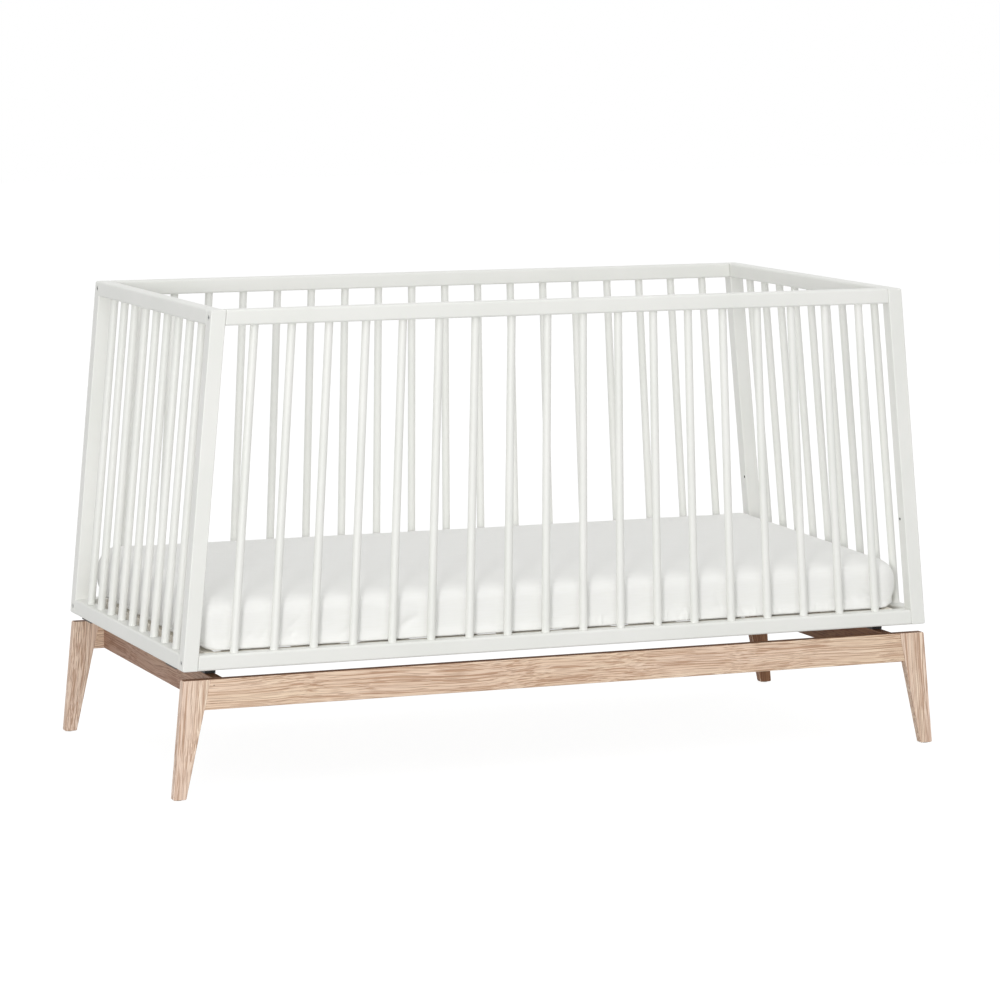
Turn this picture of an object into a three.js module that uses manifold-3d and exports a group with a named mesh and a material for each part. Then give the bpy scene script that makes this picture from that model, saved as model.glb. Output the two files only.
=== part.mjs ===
// A slatted cot for a baby: a white box frame on an oak stand, with a bed base and a mattress.
//
// The frame is longer at its foot than at its top, so its posts and end panels lean inwards.
// The bed base lies on the stand's brackets, and it can be raised to a row of holes in the posts.
// Units are millimetres. X runs along the cot, Y from its front to its back and Z up.
// The origin lies on the floor, under the middle of the cot.

import * as THREE from "three";
import { mergeVertices } from "three/addons/utils/BufferGeometryUtils.js";
import Module from "manifold-3d";

const wasm = await Module();
wasm.setup();

// ---------------------------------------------------------------- driving dimensions

/** Air left between two pieces that touch, all round. */
const FIT = 0.3;
/** How far a cutting shape runs past the face that it cuts. */
const OVERRUN = 1;
/** Flat sides used for a round rod or hole. */
const ROUND_SIDES = 12;

// The frame: four leaning posts with rails between them.
const FRAME_LENGTH_BOTTOM = 1460;
const FRAME_LENGTH_TOP = 1342;
const FRAME_DEPTH = 730;
const FRAME_HEIGHT = 635;
/** Air between the top of the stand and the frame. */
const FRAME_LIFT = 16;
const POST_WIDTH = 28;
const POST_DEPTH = 28;
const POST_EDGE = 2;
const POST_BOTTOM_CORNER = 3.5;
const POST_TOP_CORNER = 4.5;
const RAIL_HEIGHT = 28;
const RAIL_THICKNESS = 28;
const RAIL_EDGE = 4;

// The slats: round rods glued into the bottom rails and seated in the top rails.
const SLAT_DIAMETER = 15;
const SLAT_SEAT = 14;
const SIDE_SLATS = 18;
const END_SLATS = 9;
/** Clear gap between a post and the slat next to it in a side, under the top rail. */
const SIDE_SLAT_GAP_TOP = 51;
/** The same gap over the bottom rail. */
const SIDE_SLAT_GAP_BOTTOM = 60;
/** Clear gap between a post and the slat next to it in an end panel. */
const END_SLAT_GAP = 55;

// The socket head bolts that hold the side rails to the posts.
const BOLT_DIAMETER = 6;
const BOLT_LENGTH = 60;
const BOLT_HEAD_DIAMETER = 10;
const BOLT_HEAD_HEIGHT = 5;
const BOLT_HEAD_RECESS = 1;
const HEX_KEY = 4;
const HEX_DEPTH = 3;
// The barrel nuts in the rails, which the bolts screw into.
const NUT_DIAMETER = 10;
const NUT_LENGTH = 18;
/** From the end of a rail to the middle of its nut. */
const NUT_INSET = 30;

// The stand: four splayed legs, two long aprons and two cross rails.
const STAND_HEIGHT = 213;
/** How far the stand stays back from the foot of the frame, on all four sides. */
const STAND_SETBACK = 2;
const LEG_TOP_WIDTH = 50;
const LEG_FOOT_WIDTH = 24;
const LEG_SPLAY = 21;
const LEG_THICKNESS = 20;
const LEG_FOOT_THICKNESS = 16;
const APRON_HEIGHT = 54;
const APRON_THICKNESS = 20;
const CROSS_RAIL_HEIGHT = 54;
const CROSS_RAIL_THICKNESS = 20;
/** From the outside of the legs, at their top, to the outside of the cross rail. */
const CROSS_RAIL_INSET = 58;
const STAND_EDGE = 1.5;
const LEG_CORNER = 3;
const TENON_THICKNESS = 8;
const TENON_HEIGHT = 30;
const APRON_TENON_LENGTH = 24;
const CROSS_RAIL_TENON_LENGTH = 10;

// The nail-on glides under the feet.
const GLIDE_DIAMETER = 13;
const GLIDE_HEIGHT = 3;
/** How deep a glide sits in the end of its leg. */
const GLIDE_RECESS = 2;
const GLIDE_EDGE = 0.8;
const NAIL_DIAMETER = 2.6;
const NAIL_LENGTH = 14;

// The steel brackets that stand on the cross rails and carry the frame.
const BRACKET_WIDTH = 60;
const BRACKET_PLATE = 4;
/** From the outside of the frame to the front or back of a bracket. */
const BRACKET_SETBACK = 62;
/** How far a bracket stays back from the outside of the frame's end. */
const BRACKET_END_MARGIN = 6;
const SCREW_HOLE_DIAMETER = 4.5;

// The bed base: a frame of four rails with laths laid across it.
/** Clear gap between the bed base and the frame's end rails, and its side rails. */
const BED_BASE_END_GAP = 21;
const BED_BASE_SIDE_GAP = 4;
const BED_BASE_RAIL_HEIGHT = 27;
const BED_BASE_RAIL_THICKNESS = 20;
const BED_BASE_EDGE = 1.5;
const LATHS = 10;
const LATH_WIDTH = 80;
const LATH_THICKNESS = 8;
/** How far each end of a lath lies on its side rail. */
const LATH_SEAT = 10;

// The holes in the posts that hold the bed base in its upper place.
const BED_BASE_HOLE_DIAMETER = 6;
const BED_BASE_HOLE_DEPTH = 15;
const BED_BASE_HOLE_LEVEL = 428;
/** From the outside of the frame to the middle of these holes. */
const BED_BASE_HOLE_SETBACK = 20;

// The mattress.
/** How far the mattress stays back from the ends and the sides of the bed base. */
const MATTRESS_END_SETBACK = 4;
const MATTRESS_SIDE_SETBACK = 1;
const MATTRESS_THICKNESS = 104;
const MATTRESS_CORNER = 56;
const MATTRESS_EDGE = 34;
/** Steps round each of the mattress's corners and edges. */
const MATTRESS_STEPS = 6;

// ---------------------------------------------------------------- levels and widths

const FRAME_BOTTOM = STAND_HEIGHT + FRAME_LIFT;
const FRAME_TOP = FRAME_BOTTOM + FRAME_HEIGHT;
const RAIL_TOP = FRAME_BOTTOM + RAIL_HEIGHT;
const TOP_RAIL_BOTTOM = FRAME_TOP - RAIL_HEIGHT;
const HALF_DEPTH = FRAME_DEPTH / 2;
const HALF_STAND_DEPTH = HALF_DEPTH - STAND_SETBACK;
const HALF_STAND_LENGTH = FRAME_LENGTH_BOTTOM / 2 - STAND_SETBACK;
/** Distance of the slats of a side, and of its bolts, from the middle of the cot. */
const SIDE_MIDDLE = HALF_DEPTH - RAIL_THICKNESS / 2;
const BED_BASE_BOTTOM = FRAME_BOTTOM;
const BED_BASE_TOP = BED_BASE_BOTTOM + BED_BASE_RAIL_HEIGHT;
const HALF_BED_BASE_DEPTH = HALF_DEPTH - RAIL_THICKNESS - BED_BASE_SIDE_GAP;
const CROSS_RAIL_OUTSIDE = HALF_STAND_LENGTH - CROSS_RAIL_INSET;

/** Distance of the outside of the frame's end from the middle of the cot, at height z. */
function frameEnd(z) {
  const share = (z - FRAME_BOTTOM) / FRAME_HEIGHT;
  return THREE.MathUtils.lerp(FRAME_LENGTH_BOTTOM / 2, FRAME_LENGTH_TOP / 2, share);
}

/** Distance of a post's inner face from the middle of the cot, at height z. */
function postInside(z) {
  return frameEnd(z) - POST_WIDTH;
}

const HALF_BED_BASE_LENGTH = postInside(BED_BASE_TOP) - BED_BASE_END_GAP;

/** Distance of a leg's outer edge from the middle of the cot, at height z. */
function legOutside(z) {
  return HALF_STAND_LENGTH + LEG_SPLAY * (1 - z / STAND_HEIGHT);
}

/** Distance of a leg's inner edge from the middle of the cot, at height z. */
function legInside(z) {
  return legOutside(z) - THREE.MathUtils.lerp(LEG_FOOT_WIDTH, LEG_TOP_WIDTH, z / STAND_HEIGHT);
}

// ---------------------------------------------------------------- materials

function paint(color, roughness, metalness = 0) {
  return new THREE.MeshStandardMaterial({ color, roughness, metalness });
}

const WHITE_LACQUER = paint("#ecebe7", 0.45);
const WHITEWASHED_OAK = paint("#d8c0a9", 0.6);
const BIRCH_PLYWOOD = paint("#e6dfd0", 0.65);
const BLACK_STEEL = paint("#1f1f20", 0.5, 0.6);
const ZINC_STEEL = paint("#b4b5b6", 0.35, 0.9);
const PLASTIC = paint("#8d8a84", 0.6);
const WHITE_COTTON = paint("#e4e4e1", 0.95);

// ---------------------------------------------------------------- shape helpers

/** A closed outline with each corner eased by its own radius. Each corner is [u, v, radius]. */
function easedOutline(corners) {
  const shape = new THREE.Shape();
  const count = corners.length;
  corners.forEach(([u, v, radius], i) => {
    const [beforeU, beforeV] = corners[(i + count - 1) % count];
    const [afterU, afterV] = corners[(i + 1) % count];
    const start = new THREE.Vector2(beforeU - u, beforeV - v).setLength(radius);
    const end = new THREE.Vector2(afterU - u, afterV - v).setLength(radius);
    if (i === 0) {
      shape.moveTo(u + start.x, v + start.y);
    } else {
      shape.lineTo(u + start.x, v + start.y);
    }
    if (radius > 0) {
      shape.quadraticCurveTo(u, v, u + end.x, v + end.y);
    }
  });
  shape.closePath();
  return shape;
}

/** The corners of a rectangle between two points, all eased alike. */
function rectangle(u0, v0, u1, v1, radius) {
  return [[u0, v0, radius], [u1, v0, radius], [u1, v1, radius], [u0, v1, radius]];
}

/** Extrudes an outline by a depth and rounds the rims of its two faces by an edge radius. */
function extrude(outline, depth, edge, steps = 3) {
  return new THREE.ExtrudeGeometry(outline, {
    depth: depth - 2 * edge,
    curveSegments: steps,
    bevelEnabled: edge > 0,
    bevelThickness: edge,
    bevelSize: edge,
    bevelOffset: -edge,
    bevelSegments: steps,
  }).translate(0, 0, edge);
}

/** An outline in X and Z, extruded along Y between two places. */
function extrudeAlongY(corners, y0, y1, edge) {
  const near = Math.min(y0, y1);
  const far = Math.max(y0, y1);
  const solid = extrude(easedOutline(corners), far - near, edge);
  return solid.rotateX(Math.PI / 2).translate(0, far, 0);
}

/** An outline in Y and Z, extruded along X between two places. */
function extrudeAlongX(corners, x0, x1) {
  const near = Math.min(x0, x1);
  const far = Math.max(x0, x1);
  const turn = new THREE.Matrix4().makeBasis(
    new THREE.Vector3(0, 1, 0),
    new THREE.Vector3(0, 0, 1),
    new THREE.Vector3(1, 0, 0),
  );
  return extrude(easedOutline(corners), far - near, 0).applyMatrix4(turn).translate(near, 0, 0);
}

/** A box given by its two opposite corners, in any order. */
function block(x0, y0, z0, x1, y1, z1) {
  const box = new THREE.BoxGeometry(Math.abs(x1 - x0), Math.abs(y1 - y0), Math.abs(z1 - z0));
  return box.translate((x0 + x1) / 2, (y0 + y1) / 2, (z0 + z1) / 2);
}

/** A straight round rod between two points. */
function rod(from, to, diameter, sides = ROUND_SIDES) {
  const along = to.clone().sub(from);
  const cylinder = new THREE.CylinderGeometry(diameter / 2, diameter / 2, along.length(), sides);
  const turn = new THREE.Quaternion().setFromUnitVectors(
    new THREE.Vector3(0, 1, 0),
    along.clone().normalize(),
  );
  cylinder.applyQuaternion(turn);
  return cylinder.translate(...from.clone().add(to).multiplyScalar(0.5).toArray());
}

/** A rod along X at one place in Y and Z. */
function rodAlongX(x0, x1, y, z, diameter, sides) {
  return rod(new THREE.Vector3(x0, y, z), new THREE.Vector3(x1, y, z), diameter, sides);
}

/** A rod along Z at one place in X and Y. */
function rodAlongZ(z0, z1, x, y, diameter, sides) {
  return rod(new THREE.Vector3(x, y, z0), new THREE.Vector3(x, y, z1), diameter, sides);
}

/** Moves each corner point of a solid by a function of its place. */
function reshape(geometry, move) {
  const points = geometry.attributes.position;
  const place = new THREE.Vector3();
  for (let i = 0; i < points.count; i += 1) {
    move(place.fromBufferAttribute(points, i));
    points.setXYZ(i, place.x, place.y, place.z);
  }
  geometry.computeVertexNormals();
  return geometry;
}

function toManifold(geometry) {
  const bare = geometry.clone();
  bare.deleteAttribute("normal");
  bare.deleteAttribute("uv");
  const joined = mergeVertices(bare);
  return new wasm.Manifold(new wasm.Mesh({
    numProp: 3,
    vertProperties: Float32Array.from(joined.attributes.position.array),
    triVerts: Uint32Array.from(joined.index.array),
  }));
}

function fromManifold(manifold) {
  const { vertProperties, triVerts } = manifold.getMesh();
  const geometry = new THREE.BufferGeometry();
  geometry.setAttribute("position", new THREE.BufferAttribute(vertProperties, 3));
  geometry.setIndex(new THREE.BufferAttribute(triVerts, 1));
  const flat = geometry.toNonIndexed();
  flat.computeVertexNormals();
  return flat;
}

/** A solid with others joined to it and then others cut out of it. */
function carve(base, joined, cut) {
  let solid = toManifold(base);
  joined.forEach((piece) => {
    solid = solid.add(toManifold(piece));
  });
  cut.forEach((piece) => {
    solid = solid.subtract(toManifold(piece));
  });
  return fromManifold(solid);
}

// ---------------------------------------------------------------- the assembly

const cot = new THREE.Group();

function addPiece(name, geometry, material) {
  const mesh = new THREE.Mesh(geometry, material);
  mesh.name = name;
  cot.add(mesh);
}

const SIDES = [{ name: "front", y: -1 }, { name: "back", y: 1 }];
const ENDS = [{ name: "left", x: -1 }, { name: "right", x: 1 }];
const CORNERS = SIDES.flatMap((side) => ENDS.map((end) => ({
  name: `${side.name}_${end.name}`,
  x: end.x,
  y: side.y,
})));
const LEVELS = [
  { name: "bottom", z: FRAME_BOTTOM + RAIL_HEIGHT / 2 },
  { name: "top", z: FRAME_TOP - RAIL_HEIGHT / 2 },
];

// ---------------------------------------------------------------- bolts and their holes

/** Where the underside of a rail bolt's head bears on its post. */
function boltSeat(z) {
  return frameEnd(z) - BOLT_HEAD_RECESS - BOLT_HEAD_HEIGHT;
}

/** A socket head bolt along X, which goes in from the outside of a post. */
function railBolt(corner, z) {
  const seat = boltSeat(z);
  const face = seat + BOLT_HEAD_HEIGHT;
  const y = corner.y * SIDE_MIDDLE;
  const tip = seat - BOLT_LENGTH;
  const shank = rodAlongX(corner.x * tip, corner.x * (face - HEX_DEPTH), y, z, BOLT_DIAMETER);
  const head = rodAlongX(corner.x * seat, corner.x * face, y, z, BOLT_HEAD_DIAMETER);
  const acrossCorners = HEX_KEY / Math.cos(Math.PI / 6);
  const socketStart = corner.x * (face - HEX_DEPTH);
  const socket = rodAlongX(socketStart, corner.x * (face + OVERRUN), y, z, acrossCorners, 6);
  return carve(shank, [head], [socket]);
}

/** The hole for a rail bolt, which runs through the post and into the end of the rail. */
function railBoltHole(corner, z) {
  const seat = boltSeat(z) - FIT;
  const y = corner.y * SIDE_MIDDLE;
  const tip = corner.x * (seat - BOLT_LENGTH - FIT);
  const outside = corner.x * (frameEnd(z) + BOLT_HEAD_DIAMETER);
  return [
    rodAlongX(tip, corner.x * frameEnd(z), y, z, BOLT_DIAMETER + 2 * FIT),
    rodAlongX(corner.x * seat, outside, y, z, BOLT_HEAD_DIAMETER + 2 * FIT),
  ];
}

/** Where the middle of a barrel nut stands, along the cot. */
function nutMiddle(corner, z) {
  return corner.x * (postInside(z) - NUT_INSET);
}

/** A barrel nut that stands upright in a rail, with a hole through it for the bolt. */
function barrelNut(corner, z) {
  const x = nutMiddle(corner, z);
  const y = corner.y * SIDE_MIDDLE;
  const barrel = rodAlongZ(z - NUT_LENGTH / 2, z + NUT_LENGTH / 2, x, y, NUT_DIAMETER);
  const hole = rodAlongX(x - NUT_DIAMETER, x + NUT_DIAMETER, y, z, BOLT_DIAMETER + 2 * FIT);
  return carve(barrel, [], [hole]);
}

/** The blind hole in a rail's underside for a barrel nut. */
function barrelNutHole(corner, z) {
  const top = z + NUT_LENGTH / 2 + FIT;
  const y = corner.y * SIDE_MIDDLE;
  return rodAlongZ(z - RAIL_HEIGHT, top, nutMiddle(corner, z), y, NUT_DIAMETER + 2 * FIT);
}

/** The blind hole in a post's inner face that holds the bed base in its upper place. */
function bedBaseHole(corner) {
  const face = postInside(BED_BASE_HOLE_LEVEL);
  const y = corner.y * (HALF_DEPTH - BED_BASE_HOLE_SETBACK);
  const start = corner.x * (face - POST_WIDTH);
  const end = corner.x * (face + BED_BASE_HOLE_DEPTH);
  return rodAlongX(start, end, y, BED_BASE_HOLE_LEVEL, BED_BASE_HOLE_DIAMETER);
}

// ---------------------------------------------------------------- the frame

/** A leaning post, with holes for two rail bolts and one for the bed base. */
function post(corner) {
  const across = (z, inset) => corner.x * (frameEnd(z) - inset);
  const outline = [
    [across(FRAME_BOTTOM, 0), FRAME_BOTTOM, POST_BOTTOM_CORNER],
    [across(FRAME_TOP, 0), FRAME_TOP, POST_TOP_CORNER],
    [across(FRAME_TOP, POST_WIDTH), FRAME_TOP, 0],
    [across(FRAME_BOTTOM, POST_WIDTH), FRAME_BOTTOM, 0],
  ];
  const outside = corner.y * HALF_DEPTH;
  const inside = corner.y * (HALF_DEPTH - POST_DEPTH);
  const holes = LEVELS.flatMap((level) => railBoltHole(corner, level.z));
  holes.push(bedBaseHole(corner));
  return carve(extrudeAlongY(outline, outside, inside, POST_EDGE), [], holes);
}

/** The plain bar of a side rail: a short bar pulled out until its ends meet the leaning posts. */
function sideRailBar(side, zBottom) {
  const outside = side.y * HALF_DEPTH;
  const inside = side.y * (HALF_DEPTH - RAIL_THICKNESS);
  const section = rectangle(
    Math.min(outside, inside), zBottom, Math.max(outside, inside), zBottom + RAIL_HEIGHT, RAIL_EDGE,
  );
  return reshape(extrudeAlongX(section, -1, 1), (place) => {
    place.x *= postInside(place.z) - FIT;
  });
}

/** The plain bar of an end rail, whose section leans with the posts beside it. */
function endRailBar(end, zBottom) {
  const zTop = zBottom + RAIL_HEIGHT;
  const section = [
    [end.x * frameEnd(zBottom), zBottom, RAIL_EDGE],
    [end.x * frameEnd(zTop), zTop, RAIL_EDGE],
    [end.x * (frameEnd(zTop) - RAIL_THICKNESS), zTop, RAIL_EDGE],
    [end.x * (frameEnd(zBottom) - RAIL_THICKNESS), zBottom, RAIL_EDGE],
  ];
  const reach = HALF_DEPTH - POST_DEPTH - FIT;
  return extrudeAlongY(section, -reach, reach, 0);
}

const SLAT_LOW = RAIL_TOP - SLAT_SEAT;
const SLAT_HIGH = TOP_RAIL_BOTTOM + SLAT_SEAT;

/** The two ends of each slat's middle line in a side, fanned out towards the bottom. */
function sideSlatLines(side) {
  const reachLow = postInside(RAIL_TOP) - SIDE_SLAT_GAP_BOTTOM - SLAT_DIAMETER / 2;
  const reachHigh = postInside(TOP_RAIL_BOTTOM) - SIDE_SLAT_GAP_TOP - SLAT_DIAMETER / 2;
  return Array.from({ length: SIDE_SLATS }, (_, i) => {
    const share = 2 * i / (SIDE_SLATS - 1) - 1;
    return [
      new THREE.Vector3(share * reachLow, side.y * SIDE_MIDDLE, SLAT_LOW),
      new THREE.Vector3(share * reachHigh, side.y * SIDE_MIDDLE, SLAT_HIGH),
    ];
  });
}

/** The two ends of each slat's middle line in an end panel, which leans as a whole. */
function endSlatLines(end) {
  const reach = HALF_DEPTH - POST_DEPTH - END_SLAT_GAP - SLAT_DIAMETER / 2;
  const middle = (z) => end.x * (frameEnd(z) - RAIL_THICKNESS / 2);
  return Array.from({ length: END_SLATS }, (_, i) => {
    const y = reach * (2 * i / (END_SLATS - 1) - 1);
    return [
      new THREE.Vector3(middle(SLAT_LOW), y, SLAT_LOW),
      new THREE.Vector3(middle(SLAT_HIGH), y, SLAT_HIGH),
    ];
  });
}

/** A bottom rail with its slats glued in, as one piece. */
function slattedBottomRail(bar, lines, holes) {
  return carve(bar, lines.map(([low, high]) => rod(low, high, SLAT_DIAMETER)), holes);
}

/** A top rail with a blind socket for each slat. */
function socketedTopRail(bar, lines, holes) {
  const sockets = lines.map(([low, high]) => {
    const along = high.clone().sub(low).setLength(FIT);
    return rod(low, high.clone().add(along), SLAT_DIAMETER + 2 * FIT);
  });
  return carve(bar, [], [...sockets, ...holes]);
}

CORNERS.forEach((corner) => {
  addPiece(`post_${corner.name}`, post(corner), WHITE_LACQUER);
});

SIDES.forEach((side) => {
  const lines = sideSlatLines(side);
  const corners = ENDS.map((end) => ({ x: end.x, y: side.y }));
  const [lowHoles, highHoles] = LEVELS.map((level) => corners.flatMap((corner) => [
    ...railBoltHole(corner, level.z),
    barrelNutHole(corner, level.z),
  ]));
  const lowBar = sideRailBar(side, FRAME_BOTTOM);
  const highBar = sideRailBar(side, TOP_RAIL_BOTTOM);
  addPiece(`slatted_bottom_rail_${side.name}`, slattedBottomRail(lowBar, lines, lowHoles), WHITE_LACQUER);
  addPiece(`top_rail_${side.name}`, socketedTopRail(highBar, lines, highHoles), WHITE_LACQUER);
});

ENDS.forEach((end) => {
  const lines = endSlatLines(end);
  const lowBar = endRailBar(end, FRAME_BOTTOM);
  const highBar = endRailBar(end, TOP_RAIL_BOTTOM);
  addPiece(`slatted_bottom_rail_${end.name}`, slattedBottomRail(lowBar, lines, []), WHITE_LACQUER);
  addPiece(`top_rail_${end.name}`, socketedTopRail(highBar, lines, []), WHITE_LACQUER);
});

CORNERS.forEach((corner) => {
  LEVELS.forEach((level) => {
    addPiece(`rail_bolt_${corner.name}_${level.name}`, railBolt(corner, level.z), ZINC_STEEL);
    addPiece(`barrel_nut_${corner.name}_${level.name}`, barrelNut(corner, level.z), ZINC_STEEL);
  });
});

// ---------------------------------------------------------------- the stand

const LEG_BOTTOM = GLIDE_HEIGHT - GLIDE_RECESS;
const APRON_BOTTOM = STAND_HEIGHT - APRON_HEIGHT;
const APRON_MIDDLE_Y = HALF_STAND_DEPTH - APRON_THICKNESS / 2;
const APRON_TENON_Z = STAND_HEIGHT - APRON_HEIGHT / 2;
const CROSS_RAIL_BOTTOM = STAND_HEIGHT - CROSS_RAIL_HEIGHT;
const CROSS_RAIL_MIDDLE_X = CROSS_RAIL_OUTSIDE - CROSS_RAIL_THICKNESS / 2;
const CROSS_RAIL_TENON_Z = STAND_HEIGHT - CROSS_RAIL_HEIGHT / 2;

/** The tenon at one end of an apron, or its mortise when grown by a fit. */
function apronTenon(corner, grow) {
  const root = legInside(APRON_TENON_Z) - APRON_TENON_LENGTH;
  const tip = legInside(APRON_TENON_Z) + APRON_TENON_LENGTH + grow;
  const y = corner.y * APRON_MIDDLE_Y;
  const halfThickness = TENON_THICKNESS / 2 + grow;
  const halfHeight = TENON_HEIGHT / 2 + grow;
  return block(
    corner.x * root, y - halfThickness, APRON_TENON_Z - halfHeight,
    corner.x * tip, y + halfThickness, APRON_TENON_Z + halfHeight,
  );
}

/** The tenon at one end of a cross rail, or its mortise when grown by a fit. */
function crossRailTenon(corner, grow) {
  const inside = HALF_STAND_DEPTH - APRON_THICKNESS;
  const x = corner.x * CROSS_RAIL_MIDDLE_X;
  const halfThickness = TENON_THICKNESS / 2 + grow;
  const halfHeight = TENON_HEIGHT / 2 + grow;
  return block(
    x - halfThickness, corner.y * (inside - CROSS_RAIL_TENON_LENGTH), CROSS_RAIL_TENON_Z - halfHeight,
    x + halfThickness, corner.y * (inside + CROSS_RAIL_TENON_LENGTH + grow), CROSS_RAIL_TENON_Z + halfHeight,
  );
}

/** A splayed leg that tapers in both directions, with a mortise for its apron and a seat for its glide. */
function leg(corner) {
  const outline = [
    [corner.x * legOutside(STAND_HEIGHT), STAND_HEIGHT, LEG_CORNER],
    [corner.x * legInside(STAND_HEIGHT), STAND_HEIGHT, 0],
    [corner.x * legInside(LEG_BOTTOM), LEG_BOTTOM, LEG_CORNER],
    [corner.x * legOutside(LEG_BOTTOM), LEG_BOTTOM, LEG_CORNER],
  ];
  const outside = corner.y * HALF_STAND_DEPTH;
  const inside = corner.y * (HALF_STAND_DEPTH - LEG_THICKNESS);
  const shaft = reshape(extrudeAlongY(outline, outside, inside, STAND_EDGE), (place) => {
    const share = place.z / STAND_HEIGHT;
    const thickness = THREE.MathUtils.lerp(LEG_FOOT_THICKNESS, LEG_THICKNESS, share);
    place.y = outside + (place.y - outside) * thickness / LEG_THICKNESS;
  });
  const { x, y } = footCentre(corner);
  const glideSeat = rodAlongZ(-OVERRUN, GLIDE_HEIGHT, x, y, GLIDE_DIAMETER + 2 * FIT);
  return carve(shaft, [], [apronTenon(corner, FIT), nail(corner, FIT), glideSeat]);
}

/** Middle of a foot on the floor. */
function footCentre(corner) {
  return {
    x: corner.x * (legOutside(0) + legInside(0)) / 2,
    y: corner.y * (HALF_STAND_DEPTH - LEG_FOOT_THICKNESS / 2),
  };
}

/** The nail of a glide, or its hole when grown by a fit. */
function nail(corner, grow) {
  const { x, y } = footCentre(corner);
  const diameter = NAIL_DIAMETER + 2 * grow;
  return rodAlongZ(GLIDE_HEIGHT / 2, GLIDE_HEIGHT + NAIL_LENGTH + grow, x, y, diameter);
}

/** A round glide with its nail. */
function glide(corner) {
  const { x, y } = footCentre(corner);
  const radius = GLIDE_DIAMETER / 2;
  const top = GLIDE_HEIGHT - FIT;
  const profile = [
    new THREE.Vector2(0, 0),
    new THREE.Vector2(radius - GLIDE_EDGE, 0),
    new THREE.Vector2(radius, GLIDE_EDGE),
    new THREE.Vector2(radius, top),
    new THREE.Vector2(0, top),
  ];
  const disc = new THREE.LatheGeometry(profile, ROUND_SIDES).rotateX(Math.PI / 2).translate(x, y, 0);
  return carve(disc, [nail(corner, 0)], []);
}

/** A long apron, whose slanted ends lie against the legs, with its tenons and mortises. */
function apron(side) {
  const outside = side.y * HALF_STAND_DEPTH;
  const inside = side.y * (HALF_STAND_DEPTH - APRON_THICKNESS);
  const section = rectangle(
    Math.min(outside, inside), APRON_BOTTOM, Math.max(outside, inside), STAND_HEIGHT, STAND_EDGE,
  );
  const bar = reshape(extrudeAlongX(section, -1, 1), (place) => {
    place.x *= legInside(place.z) - FIT;
  });
  const corners = ENDS.map((end) => ({ x: end.x, y: side.y }));
  return carve(
    bar,
    corners.map((corner) => apronTenon(corner, 0)),
    corners.map((corner) => crossRailTenon(corner, FIT)),
  );
}

/** A cross rail between the two aprons, with a tenon at each end. */
function crossRail(end) {
  const inside = end.x * (CROSS_RAIL_OUTSIDE - CROSS_RAIL_THICKNESS);
  const outside = end.x * CROSS_RAIL_OUTSIDE;
  const section = rectangle(
    Math.min(inside, outside), CROSS_RAIL_BOTTOM, Math.max(inside, outside), STAND_HEIGHT, STAND_EDGE,
  );
  const reach = HALF_STAND_DEPTH - APRON_THICKNESS - FIT;
  const bar = extrudeAlongY(section, -reach, reach, 0);
  return carve(bar, SIDES.map((side) => crossRailTenon({ x: end.x, y: side.y }, 0)), []);
}

/** A steel bracket: a foot on the cross rail, and a plate that reaches under the frame's end. */
function frameBracket(corner) {
  const front = corner.y * (HALF_DEPTH - BRACKET_SETBACK);
  const back = corner.y * (HALF_DEPTH - BRACKET_SETBACK - BRACKET_WIDTH);
  const middleY = (front + back) / 2;
  const footInside = corner.x * (CROSS_RAIL_OUTSIDE - CROSS_RAIL_THICKNESS);
  const footOutside = corner.x * CROSS_RAIL_OUTSIDE;
  const plateTop = FRAME_BOTTOM - FIT;
  const plateBottom = plateTop - BRACKET_PLATE;
  const plateEnd = corner.x * (frameEnd(FRAME_BOTTOM) - BRACKET_END_MARGIN);
  const foot = block(footInside, front, STAND_HEIGHT + FIT, footOutside, back, plateTop);
  const plate = block(footInside, front, plateBottom, plateEnd, back, plateTop);
  const hole = (x) => rodAlongZ(STAND_HEIGHT, FRAME_BOTTOM, x, middleY, SCREW_HOLE_DIAMETER);
  return carve(foot, [plate], [
    hole(corner.x * CROSS_RAIL_MIDDLE_X),
    hole(corner.x * (frameEnd(FRAME_BOTTOM) - RAIL_THICKNESS / 2)),
  ]);
}

CORNERS.forEach((corner) => {
  addPiece(`leg_${corner.name}`, leg(corner), WHITEWASHED_OAK);
  addPiece(`glide_${corner.name}`, glide(corner), PLASTIC);
  addPiece(`frame_bracket_${corner.name}`, frameBracket(corner), BLACK_STEEL);
});

SIDES.forEach((side) => {
  addPiece(`apron_${side.name}`, apron(side), WHITEWASHED_OAK);
});

ENDS.forEach((end) => {
  addPiece(`cross_rail_${end.name}`, crossRail(end), WHITEWASHED_OAK);
});

// ---------------------------------------------------------------- the bed base

const BED_BASE_INSIDE_X = HALF_BED_BASE_LENGTH - BED_BASE_RAIL_THICKNESS;
const LATH_SHELF = BED_BASE_TOP - LATH_THICKNESS - FIT;

/** A long rail of the bed base, with a shelf along its inner edge for the laths. */
function bedBaseSideRail(side) {
  const outside = side.y * HALF_BED_BASE_DEPTH;
  const shelf = side.y * (HALF_BED_BASE_DEPTH - BED_BASE_RAIL_THICKNESS + LATH_SEAT);
  const inside = side.y * (HALF_BED_BASE_DEPTH - BED_BASE_RAIL_THICKNESS);
  const section = [
    [outside, BED_BASE_BOTTOM, BED_BASE_EDGE],
    [outside, BED_BASE_TOP, BED_BASE_EDGE],
    [shelf, BED_BASE_TOP, 0],
    [shelf, LATH_SHELF, 0],
    [inside, LATH_SHELF, 0],
    [inside, BED_BASE_BOTTOM, BED_BASE_EDGE],
  ];
  return extrudeAlongX(section, -BED_BASE_INSIDE_X + FIT, BED_BASE_INSIDE_X - FIT);
}

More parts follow.
